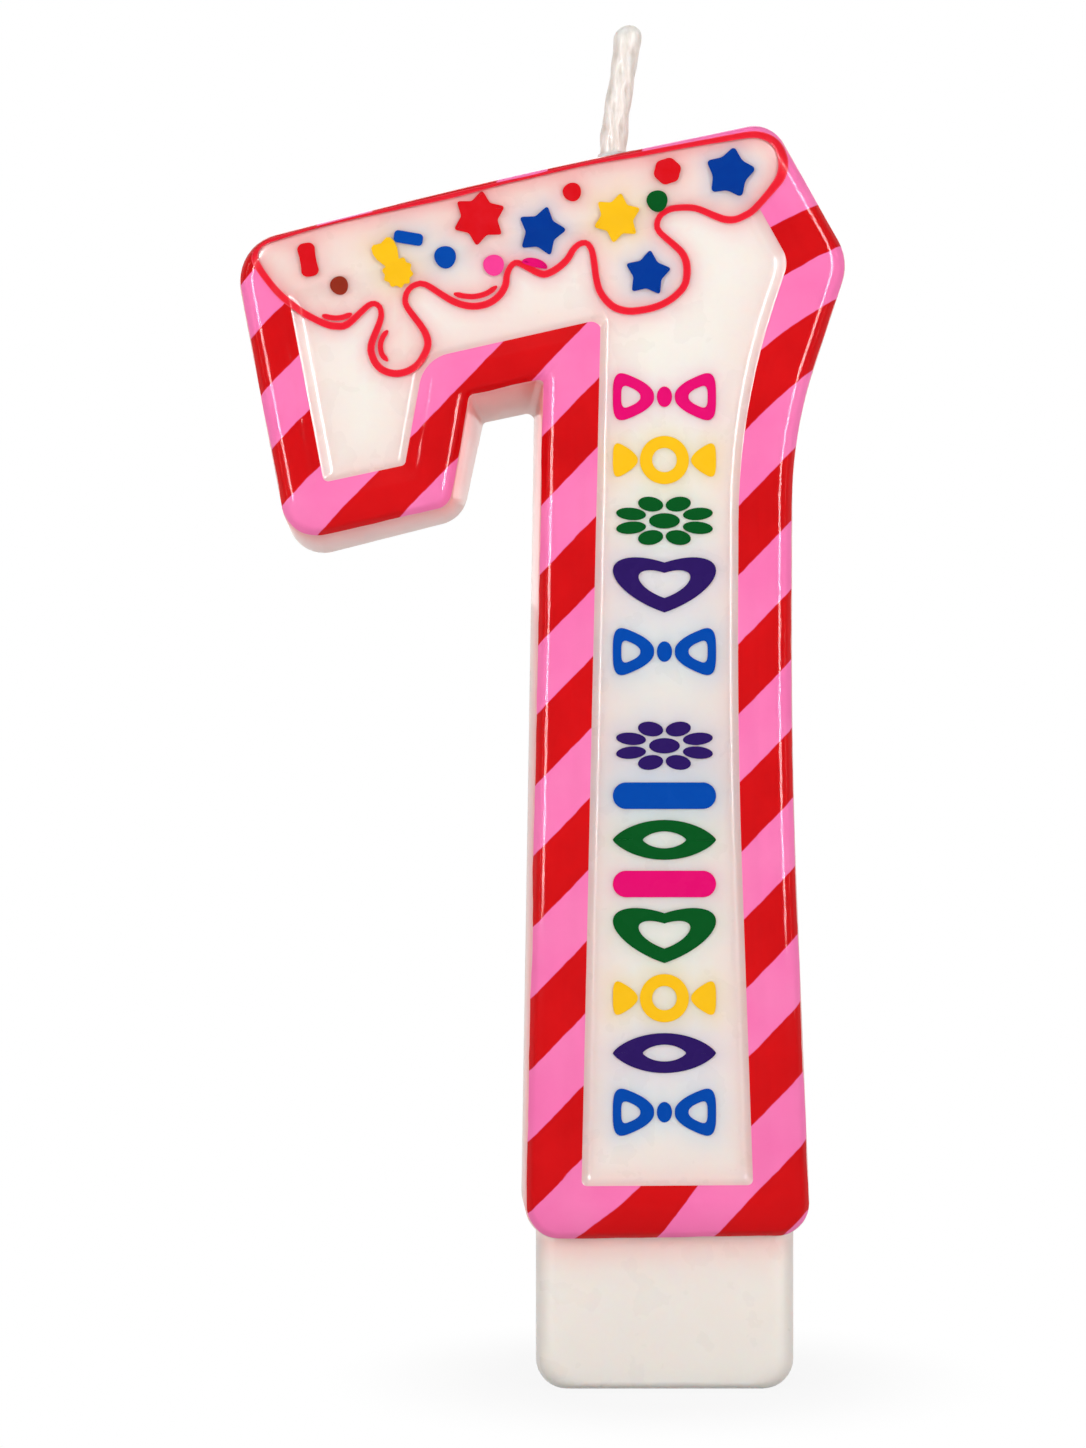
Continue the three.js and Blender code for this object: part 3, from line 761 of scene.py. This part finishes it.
def sweet(width, height, bodies=4.2, gap=0.12, neck=0.25, ends=0.85, band=0.5):
    body = width / bodies

    def ear(side):
        start = body + gap
        return roundFace(40, wing(side * (width / 2 - start), height * ends, neck)), side * start
    return together((ringed(oval(body, height / 2), band), 0), ear(1), ear(-1))


def heart(width, height, lobe=0.68, down=0.1, band=0.5, heights=2.2):
    def reach(t):
        return width / 2 * cos(t), height / heights * (sin(t) + lobe * abs(cos(t)) - down)
    return ringed(reach, band, 56, (0, down))


def leaf(width, height, sharp=1.5, band=0.42):
    return ringed(lambda t: (width / 2 * cos(t), height / 2 * eased(sin(t), sharp)), band)


def flower(width, height, count=8, start=0.7, petal=(0.3, 0.235), centre=0.15):
    parts = []
    for turn in turns(count):
        turn += pi / count
        away, (long, wide) = Vector((cos(turn), sin(turn))), petal

        def reach(t):
            place = away * (start + long * cos(t)) + leftOf(away) * wide * sin(t)
            return place.x * width / 2, place.y * height / 2
        parts.append((roundFace(20, reach), 0))
    return together(*parts, (roundFace(24, oval(width * centre, height * centre)), 0))


sprinkles = {
    "edge": 0.16, "mesh": 0.35, "lift": 0.13, "thickness": 0.03,
    "pieces": [  # shape and its sizes, place, turn and colour
        ("star_red", pointed, (6, 1.68, 1.09), (-11.1, 70.5), -0.1, "red"),
        ("star_blue_left", pointed, (5, 1.55, 0.92, 0.22), (-7.4, 69.75), -0.25, "star_blue"),
        ("star_yellow", pointed, (6, 1.52, 0.96), (-2.85, 70.55), -0.15, "yellow"),
        ("star_blue_right", pointed, (5, 1.6, 1.03, 0.27, 0.2), (3.9, 73.2), -0.15, "star_blue"),
        ("star_blue_low", pointed, (5, 1.46, 0.89), (-1, 67.25), -0.1, "star_blue"),
        ("rod_red", bone, (2, 1.22, 0.2), (-21.35, 68), 1.75, "red"),
        ("rod_blue", block, (1.75, 0.72), (-15.35, 69.3), -0.16, "blue"),
        ("dot_brown", disc, (0.54,), (-19.5, 66.5), 0, "brown"),
        ("dot_blue", disc, (0.65,), (-13.15, 68.2), 0, "blue"),
        ("dot_pink", disc, (0.63,), (-10.25, 67.75), 0, "pink"),
        ("dot_magenta", halfDisc, (1.6, 0.42), (-7.8, 67.75), -0.25, "magenta"),
        ("dot_red", disc, (0.55,), (-5.55, 72.05), 0, "red"),
        ("dot_red_wide", petals, (6, 1.66, 1.58, 0.04), (0.15, 73.3), 0.3, "red"),
        ("dot_green", disc, (0.63,), (-0.45, 71.55), 0, "green"),
        ("dots_yellow", twinDots, (0.75, 0.86, 1.39), (-16, 67.3), 0.53, "yellow"),
    ],
}

marks = {
    "width": 6.2, "gap": 0.65, "groupGap": 2.4, "drop": 13.4, "edge": 0.12, "lift": 0.03, "thickness": 0.03,
    "groups": [
        [(bow, 3.4, "magenta"), (sweet, 2.9, "yellow"), (flower, 3.1, "green"),
         (heart, 3.3, "purple"), (bow, 3.4, "blue")],
        [(flower, 3.1, "purple"), (rod, 1.6, "blue"), (leaf, 2.4, "green"),
         (rod, 1.6, "magenta"), (heart, 3.3, "green"), (sweet, 2.9, "yellow"),
         (leaf, 2.4, "purple"), (bow, 3.4, "blue")],
    ],
}


def printed(name, bm, place, turn, look):
    verts = bm.verts[:]
    bmesh.ops.rotate(bm, verts=verts, cent=(0, 0, 0), matrix=Matrix.Rotation(-turn, 3, "Y"))
    bmesh.ops.translate(bm, verts=verts, vec=at(place[0], 0, place[1]))
    bmesh.ops.remove_doubles(bm, verts=verts, dist=look["thickness"] * mm)  # what is thinner than the film
    bm.normal_update()
    boundary = set(bm.verts)
    bmesh.ops.inset_region(bm, faces=bm.faces[:], thickness=look["edge"] * mm, use_even_offset=True,
                           use_boundary=True)
    ink = bm.verts.layers.float.new("ink")
    for v in bm.verts:
        v[ink] = 0 if v in boundary else 1
    if "mesh" in look:
        cutGrid(bm, look["mesh"])
    drape(bm, look["lift"])
    thicken(bm, look["thickness"])
    return asObject(name, bm)


# Materials

def linear(*srgb):
    return [((c / 255 + 0.055) / 1.055) ** 2.4 if c > 10 else c / 255 / 12.92 for c in srgb] + [1]


def node(tree, kind, inputs=(), **settings):
    made = tree.nodes.new(kind)
    for key, value in settings.items():
        setattr(made, key, value)
    for key, value in dict(inputs).items():
        if isinstance(value, bpy.types.NodeSocket):
            tree.links.new(value, made.inputs[key])
        else:
            made.inputs[key].default_value = value
    return made


def maths(tree, operation, *values):
    return node(tree, "ShaderNodeMath", enumerate(values), operation=operation).outputs[0]


def attribute(tree, name, output="Fac"):
    return node(tree, "ShaderNodeAttribute", attribute_name=name).outputs[output]


def noiseOf(tree, place, scale, detail=3):
    values = {"Vector": place, "Scale": scale, "Detail": detail}
    return node(tree, "ShaderNodeTexNoise", values).outputs["Fac"]


def ranged(tree, value, low, high, newLow, newHigh, smooth=False):
    kind = "SMOOTHSTEP" if smooth else "LINEAR"
    return node(tree, "ShaderNodeMapRange", {0: value, 1: low, 2: high, 3: newLow, 4: newHigh},
                interpolation_type=kind).outputs[0]


def cloud(tree, place, scale, low=0, high=1):
    return ranged(tree, noiseOf(tree, place, scale), 0.3, 0.7, low, high)


def mixed(tree, factor, a, b, kind="MIX"):
    return node(tree, "ShaderNodeMix", {0: factor, 6: a, 7: b}, data_type="RGBA", blend_type=kind).outputs[2]


def newMaterial(name):
    material = bpy.data.materials.new(name)
    material.use_nodes = True
    return material, material.node_tree


def surface(name, look, paint, *tones):
    # Even values are set on the shader's own sockets, and paint gives its colour, roughness and height.
    material, tree = newMaterial(name)
    shader = tree.nodes["Principled BSDF"]
    for key, value in look["shader"].items():
        shader.inputs[key].default_value = value
    place = node(tree, "ShaderNodeTexCoord").outputs["Object"]
    colour, roughness, height = paint(tree, place, look, *tones)
    relief = {"Height": height, "Strength": look.get("bump", 1), "Distance": look["deep"] * mm}
    bump = node(tree, "ShaderNodeBump", relief)
    for key, value in (("Base Color", colour), ("Roughness", roughness), ("Normal", bump.outputs["Normal"])):
        tree.links.new(value, shader.inputs[key])
    return material


def blend(tree, factor, tones):
    return mixed(tree, factor, *[linear(*tone) for tone in tones])


def waves(tree, place, scale=520):
    # Long low waves with a little fine unevenness, so that glints have ragged edges.
    wave, fine = noiseOf(tree, place, scale, 2), noiseOf(tree, place, scale * 7, 2)
    return maths(tree, "MULTIPLY_ADD", fine, 0.12, wave)


waxLook = {
    "shader": {
        "Subsurface Weight": 0.45, "Subsurface Scale": 0.0022, "Subsurface Radius": (1, 0.6, 0.45),
        "Specular IOR Level": 0.36, "IOR": 1.44, "Coat Weight": 0.22, "Coat Roughness": 0.09,
    },
    "tones": ((246, 238, 230), (248, 240, 232)), "toneScale": 170, "rough": (420, 0.24, 0.36),
    "wallRough": 0.3, "deep": 0.016,
}


def waxPaint(tree, place, look):
    base = blend(tree, cloud(tree, place, look["toneScale"]), look["tones"])
    smooth = cloud(tree, place, *look["rough"])
    rough = maths(tree, "MULTIPLY_ADD", attribute(tree, "wall"), look["wallRough"], smooth)
    # The wax's colour is multiplied by the painted light, painted shade and tints of its colour attribute.
    return mixed(tree, 1, base, attribute(tree, "stain", "Color"), "MULTIPLY"), rough, waves(tree, place)


stripeLook = {
    "shader": {"Specular IOR Level": 0.04, "Coat Weight": 0.075, "Coat Roughness": 0.03, "IOR": 1.46},
    "pinks": ((253, 119, 182), (255, 130, 188)), "reds": ((208, 5, 11), (220, 10, 16)), "toneScale": 260,
    "wobble": 0.012, "wobbleScale": 900, "edge": (0.247, 0.259), "rough": (500, 0.04, 0.1),
    "deep": 0.045, "waveScale": 330,
}


def stripePaint(tree, place, look):
    ragged = ranged(tree, noiseOf(tree, place, look["wobbleScale"], 2), 0, 1, -look["wobble"], look["wobble"])
    phase = maths(tree, "ADD", maths(tree, "ADD", attribute(tree, "stripe"), ragged), 0.25)
    fromMiddle = maths(tree, "ABSOLUTE", maths(tree, "SUBTRACT", maths(tree, "FRACT", phase), 0.5))
    tone = cloud(tree, place, look["toneScale"])
    pink, red = blend(tree, tone, look["pinks"]), blend(tree, tone, look["reds"])
    colour = mixed(tree, ranged(tree, fromMiddle, *look["edge"], 1, 0, True), pink, red)
    return colour, cloud(tree, place, *look["rough"]), waves(tree, place, look["waveScale"])


inkLook = {
    "shader": {"Specular IOR Level": 0.03, "Coat Weight": 0.04, "Coat Roughness": 0.08, "IOR": 1.46},
    "wornScale": 1400, "rough": (600, 0.2, 0.34), "deep": 0.012,
}


def inkPaint(tree, place, look, core, edge):
    tone = blend(tree, ranged(tree, attribute(tree, "ink"), 0, 1, 0, 1, True), (edge, core))
    whole = ranged(tree, noiseOf(tree, place, look["wornScale"]), 0.25, 0.75, 0.9, 1)
    return mixed(tree, whole, linear(*edge), tone), cloud(tree, place, *look["rough"]), waves(tree, place)


wickLook = {
    "shader": {
        "Subsurface Weight": 0.3, "Subsurface Scale": 0.0008, "Subsurface Radius": (1, 0.7, 0.5),
        "IOR": 1.45, "Coat Weight": 0.15, "Coat Roughness": 0.12,
    },
    "threads": ((222, 216, 208), (240, 236, 230)), "groove": (204, 195, 184), "streakScale": 2800,
    "rough": (0.45, 0.65), "fibreScale": 6000, "bump": 0.7, "deep": 0.08,
    # threads lean a little, so the streaks and the fibres run along the wick at a slant
    "along": {"Scale": (1, 1, 0.25), "Rotation": (0, 0.3, 0)},
}


def wickPaint(tree, place, look):
    threads = node(tree, "ShaderNodeMapping", {"Vector": place, **look["along"]}).outputs["Vector"]
    streak = ranged(tree, noiseOf(tree, threads, look["streakScale"]), 0.36, 0.64, 0, 1)
    thread = blend(tree, streak, look["threads"])
    # The gaps between strands are painted darker, as painted shade.
    colour = mixed(tree, attribute(tree, "groove"), thread, linear(*look["groove"]))
    return colour, ranged(tree, streak, 0, 1, *look["rough"]), noiseOf(tree, threads, look["fibreScale"])


# An ink's core and edge as seen, then the coloured light it sends into the wax round it, painted as a tint:
# tint, strength and reach.
inks = {
    "red": ((220, 10, 20), (244, 70, 92), (1, 0.3, 0.36), 0.34, 0.6),
    "pink": ((248, 62, 150), (250, 96, 168), (1, 0.35, 0.6), 0.3, 0.5),
    "magenta": ((232, 8, 112), (240, 40, 130), (1, 0.35, 0.6), 0.26, 0.5),
    "yellow": ((254, 196, 24), (253, 206, 66), (1, 0.85, 0.5), 0.45, 0.7),
    "green": ((2, 84, 30), (16, 104, 48), (0.75, 0.9, 0.75), 0.3, 0.6),
    "purple": ((44, 22, 96), (64, 38, 120), (0.76, 0.74, 0.93), 0.45, 1),
    "blue": ((0, 72, 172), (14, 98, 194), (0.62, 0.8, 1), 0.42, 0.9),
    "star_blue": ((0, 54, 149), (8, 90, 184), (0.6, 0.72, 1), 0.5, 0.65),
    "brown": ((146, 48, 28), (206, 40, 52), (1, 0.3, 0.36), 0.3, 0.5),
    "icing_line": ((238, 28, 46), (246, 74, 92), (1, 0.35, 0.42), 0.42, 0.55),
}
inkLooks = {ink: surface("ink_" + ink, inkLook, inkPaint, *values[:2]) for ink, values in inks.items()}


# Making the pieces

stripes = filmPiece()
placePiece(stripes, surface("stripedFilm", stripeLook, stripePaint), "film_stripe", "border_film")
print("stripe film:", len(stripes.data.polygons), "faces")

lines = [(icingOutline(), "icing_outline")] + [(icingStroke(name), name) for name in icing["strokes"]]
for piece, nodeName in lines:
    placePiece(piece, inkLooks["icing_line"], "film_red", nodeName)
print("icing lines:", len(lines))

printPieces = []


def addPrint(nodeName, bm, place, turn, look, ink):
    piece = printed(pieceName(nodeName), bm, place, turn, look)
    printPieces.append((placePiece(piece, inkLooks[ink], "film_" + ink, nodeName), ink))


for nodeName, shape, sizes, place, turn, ink in sprinkles["pieces"]:
    addPrint(nodeName, shape(*sizes), place, turn, sprinkles, ink)
print("sprinkles:", len(printPieces))

number, z = 0, topEdgeZ(0) - marks["drop"]
for group in marks["groups"]:
    for shape, height, ink in group:
        number += 1
        addPrint(f"mark_{number:02d}", shape(marks["width"], height), (0, z - height / 2), 0, marks, ink)
        z -= height + marks["gap"]
    z -= marks["groupGap"] - marks["gap"]
print("marks:", number)


# Wick: a braided strand, waxed. It runs straight down the stem and leans a little above the wax.

wick = {
    "path": [  # height, lean to the right, and radius
        (4.3, 0, 0.8), (20, 0, 0.8), (40, 0, 0.8), (60, 0, 0.8), (73.6, 0, 0.81), (76, 0, 0.82),
        (76.4, 0.06, 0.86), (76.8, 0.1, 0.83), (77.3, 0.14, 0.82), (78.8, 0.36, 0.8), (80.6, 0.66, 0.79),
        (81.5, 0.76, 0.79), (82.2, 0.92, 0.87), (82.45, 1, 0.87),
    ],
    "step": 0.1, "hiddenStep": 6, "hiddenUnder": 0.5, "leanPasses": 40, "radiusPasses": 10, "sides": 48,
    "tip": 0.9, "tipLean": 0.11, "tipRings": 9,
    # the braid shows from a little over the mouth up to the tip, where wax fills it
    "shown": (0.6, 1.2), "filled": (-0.3, 1.6), "filledLeast": 0.25,
    "strands": 4, "lay": 9, "relief": 0.18, "crossing": 0.9, "crossingShare": 0.75, "swell": 0.03,
    "wander": 0.03, "wanderRise": 0.9, "gap": 0.6, "clump": 0.7, "clumpSize": 1.4, "clumpRise": 1.1,
    "clumpSeed": 7,
}


def wickStations():
    stations, path = [], wick["path"]
    for low, high in zip(path, path[1:]):
        hidden = high[0] <= hole["mouth"][1] - wick["hiddenUnder"]
        pieces = max(1, round((high[0] - low[0]) / wick["hiddenStep" if hidden else "step"]))
        stations += [[a + (b - a) * k / pieces for a, b in zip(low, high)] for k in range(pieces)]
    leans = smoothed([s[1] for s in stations], False, wick["leanPasses"])
    radii = smoothed([s[2] for s in stations], False, wick["radiusPasses"])
    stations = [(s[0], lean, radius) for s, lean, radius in zip(stations, leans, radii)]
    z, lean, radius = stations[-1]
    for t in quarter(wick["tipRings"])[1:-1]:
        up = sin(t)
        stations.append((z + wick["tip"] * up, lean + wick["tipLean"] * up, radius * cos(t)))
    return stations, z


def wickPiece():
    bm = bmesh.new()
    groove = bm.verts.layers.float.new("groove")
    sides, strands = wick["sides"], wick["strands"]
    verts = circle(bm, sides)
    cap(bm, verts)
    mouthX, mouthZ = hole["mouth"]
    stations, topZ = wickStations()
    for i, (z, lean, radius) in enumerate(stations):
        if i:
            verts = nextRing(bm, verts)
        shown = ramp(z - mouthZ, *wick["shown"])
        thin = max(ramp(topZ - z, *wick["filled"]), wick["filledLeast"])
        for turn, v in zip(turns(sides), verts):
            across, deep, lay = cos(turn), sin(turn), 2 * pi * z / wick["lay"]
            # Two sets of strands cross: one swells most, and the gaps between its strands sink at a slant.
            right = abs(cos(strands / 2 * (turn + lay)))
            left = abs(cos(strands / 2 * (turn - lay) + wick["crossing"])) * wick["crossingShare"]
            height = max(right, left)
            dip = wick["relief"] * (1 - height) * thin
            wander = wick["wander"] * noiseAt(across, deep, z * wick["wanderRise"])
            r = radius * (1 + shown * (wick["swell"] + wander - dip))
            v.co = at(mouthX + lean + r * across, hole["y"] + r * deep, z)
            size, up = wick["clumpSize"], z * wick["clumpRise"] + wick["clumpSeed"]
            clump = ramp(noiseAt(across * size, deep * size, up), -1, 1 / wick["clump"])
            # Painted shade in the gaps between strands.
            v[groove] = max(0, 1 - height / wick["gap"]) * shown * thin * clump
    cap(bm, verts)
    facesOut(bm)
    return asObject("wickBraid", bm, 80)


placePiece(wickPiece(), surface("waxedCotton", wickLook, wickPaint), "wick_cotton", "wick")
print("wick")


# Colour on the wax: tints, painted light and painted shade

# Red light that runs through the wax from the film is painted into its colour, far on the walls and weakly
# over the front and the foot: tint, strength and reach. The lower stem is painted duller, as painted shade:
# tint, height and reach.
glows = {
    "wall": ((1, 0.34, 0.34), 0.95, 14), "front": ((1, 0.72, 0.72), 0.38, 3.2),
    "foot": ((1, 0.78, 0.78), 0.8, 2), "dull": ((0.9, 0.92, 0.93), 37, 13),
    "film": ((1, 0.42, 0.45), 0.4, 0.6), "icing": (1, 0.82, 0.79), "icingStrength": 0.48, "icingY": -5,
    "footSideShade": (0.84, 0.85, 0.86), "turned": (-0.55, 0.45), "footShadeTurn": (-0.92, 0.4),
    "wallAbove": (9.2, 1.5), "printReach": 3.2, "printPower": 1.4,
}


def insideLine(x, z, line):
    crossings = [(a.y > z) != (b.y > z) and x < a.x + (b.x - a.x) * (z - a.y) / (b.y - a.y)
                 for a, b in zip(line, line[1:] + line[:1])]
    return sum(crossings) % 2 == 1


def tinted(colour, tint, weight):
    return [c * (1 - weight * (1 - t)) for c, t in zip(colour, tint)]


# Paints light from the film and prints, painted shade and the icing's tint into the wax's colour.
def paintLightAndTintOnWax():
    groups = {"film": [stripes], "icing_line": [piece for piece, _ in lines]}
    for piece, ink in printPieces:
        groups.setdefault(ink, []).append(piece)
    trees = {name: treeOf(pieces) for name, pieces in groups.items()}
    area, footTop = icingArea(), glows["wallAbove"][0]
    values, walls = [], []
    for v in wax.data.vertices:
        colour = [1, 1, 1]
        x, z, away = v.co.x / mm, v.co.z / mm, trees["film"].find_nearest(v.co)[3] / mm
        turned = ramp(v.normal.y, *glows["turned"])
        walls.append(turned)
        wall = turned * ramp(z, *glows["wallAbove"]) * (1 - max(v.normal.y, 0) ** 2)
        # Red light from the film, painted into the wax's colour on the walls, the front and the foot.
        for name, part in (("wall", wall), ("front", 1 - wall), ("foot", z < footTop)):
            tint, strength, reach = glows[name]
            colour = tinted(colour, tint, part * strength * max(1 - away / reach, 0))
        # The foot's faces that turn away from the front are painted darker and greyer, as painted shade.
        if z < footTop:
            colour = tinted(colour, glows["footSideShade"], ramp(v.normal.y, *glows["footShadeTurn"]))
        # The stem is painted darker round this height, as painted shade.
        tint, middle, reach = glows["dull"]
        colour = tinted(colour, tint, exp(-((z - middle) / reach) ** 2))
        if v.co.y < glows["icingY"] * mm and insideLine(x, z, area):
            colour = tinted(colour, glows["icing"], glows["icingStrength"])
        # Round the film and each print the wax takes their tint: painted coloured light that they send into
        # the wax.
        for name, tree in trees.items():
            tint, strength, reach = inks[name][2:] if name in inks else glows[name]
            distance = tree.find_nearest(v.co, reach * glows["printReach"] * mm)[3]
            if distance is not None:
                weight = strength * exp(-(distance / mm / reach) ** glows["printPower"])
                colour = tinted(colour, tint, weight)
        values += colour + [1]
    wax.data.color_attributes.new("stain", "FLOAT_COLOR", "POINT").data.foreach_set("color", values)
    wax.data.attributes.new("wall", "FLOAT", "POINT").data.foreach_set("value", walls)


paintLightAndTintOnWax()
placePiece(wax, surface("wax", waxLook, waxPaint), "wax", "wax_body")
print("stain on the wax")


# Stage: a pale floor, a white surround, and soft light from the front, both sides and behind

studio = {
    "floorSize": 3, "floorNear": 0.5, "floorFar": 0.88, "floorFade": (0.01, 0.04),
    "whiteNear": 0.9, "whiteFade": (0.008, 0.022), "surround": 0.4,
    "lamps": [  # place, size across and up, power
        ((-0.03, -0.25, 0.27), (0.3, 0.22), 0.11),
        ((-0.3, -0.34, 0.165), (0.01, 0.32), 0.49),
        ((0.29, -0.35, 0.165), (0.01, 0.32), 0.52),
        ((-0.37, -0.22, 0.08), (0.035, 0.28), 0.24),
        ((0.37, -0.22, 0.08), (0.035, 0.28), 0.24),
        ((0, 0.36, 0.2), (0.3, 0.3), 0.4),
    ],
    "reflectors": [  # strips that only gloss sees
        ((-0.3, -0.34, 0.165), (0.035, 0.32), 2.7),
        ((0.29, -0.35, 0.165), (0.035, 0.32), 2.7),
    ],
    "lampAim": (-0.005, 0, 0.045),
}


def seenRay(tree):
    rays = node(tree, "ShaderNodeLightPath")
    seen = rays.outputs["Is Camera Ray"]
    for other in ("Is Glossy Ray", "Is Transmission Ray"):
        seen = maths(tree, "MAXIMUM", seen, rays.outputs[other])
    return seen


def floorPiece():
    bm = bmesh.new()
    bmesh.ops.create_grid(bm, x_segments=1, y_segments=1, size=studio["floorSize"] / 2)
    floor = asObject("floor", bm)
    material, tree = newMaterial("paleFloor")
    tree.nodes.remove(tree.nodes["Principled BSDF"])
    place = node(tree, "ShaderNodeTexCoord").outputs["Object"]
    away = node(tree, "ShaderNodeVectorMath", {0: place}, operation="LENGTH").outputs["Value"]
    # The floor is painted darker near the candle, as painted shadow round its foot.
    paintedFloorShadow = ranged(tree, away, *studio["floorFade"], studio["floorNear"], studio["floorFar"])
    paint = node(tree, "ShaderNodeBsdfDiffuse", {"Color": paintedFloorShadow}).outputs[0]
    # Seen directly or in a reflection it turns white away from the candle, and keeps the shadow near it.
    whiter = ranged(tree, away, *studio["whiteFade"], studio["whiteNear"], 1.0, True)
    white = node(tree, "ShaderNodeEmission").outputs[0]
    share = maths(tree, "MULTIPLY", whiter, seenRay(tree))
    both = node(tree, "ShaderNodeMixShader", {0: share, 1: paint, 2: white})
    tree.links.new(both.outputs[0], tree.nodes["Material Output"].inputs["Surface"])
    floor.data.materials.append(material)


def surround():
    world = bpy.data.worlds.new("surround")
    bpy.context.scene.world = world
    world.use_nodes = True
    tree = world.node_tree
    background = tree.nodes["Background"]
    background.inputs["Color"].default_value = (1, 1, 1, 1)
    strength = ranged(tree, seenRay(tree), 0, 1, studio["surround"], 1.0)
    tree.links.new(strength, background.inputs["Strength"])


def lamps():
    for number, (place, (width, height), power) in enumerate(studio["lamps"] + studio["reflectors"]):
        light = bpy.data.lights.new(f"lamp{number}", "AREA")
        light.shape, light.size, light.size_y, light.energy = "RECTANGLE", width, height, power
        lamp = addObject(light.name, light)
        lamp.location = place
        towards = Vector(studio["lampAim"]) - Vector(place)
        lamp.rotation_euler = towards.to_track_quat("-Z", "Y").to_euler()
        lamp.visible_diffuse = number < len(studio["lamps"])


camera = {"place": (-7.29, -217.4, 40.22), "lens": 87.66}


def addCamera():
    data = bpy.data.cameras.new("camera")
    data.lens, data.clip_start = camera["lens"], 0.01
    seen = addObject("camera", data)
    seen.location = at(*camera["place"])
    seen.rotation_euler = (pi / 2, 0, 0)
    bpy.context.scene.camera = seen


floorPiece()
surround()
lamps()
addCamera()
bpy.context.scene.view_settings.view_transform = "Standard"
print("stage, lamps and camera")
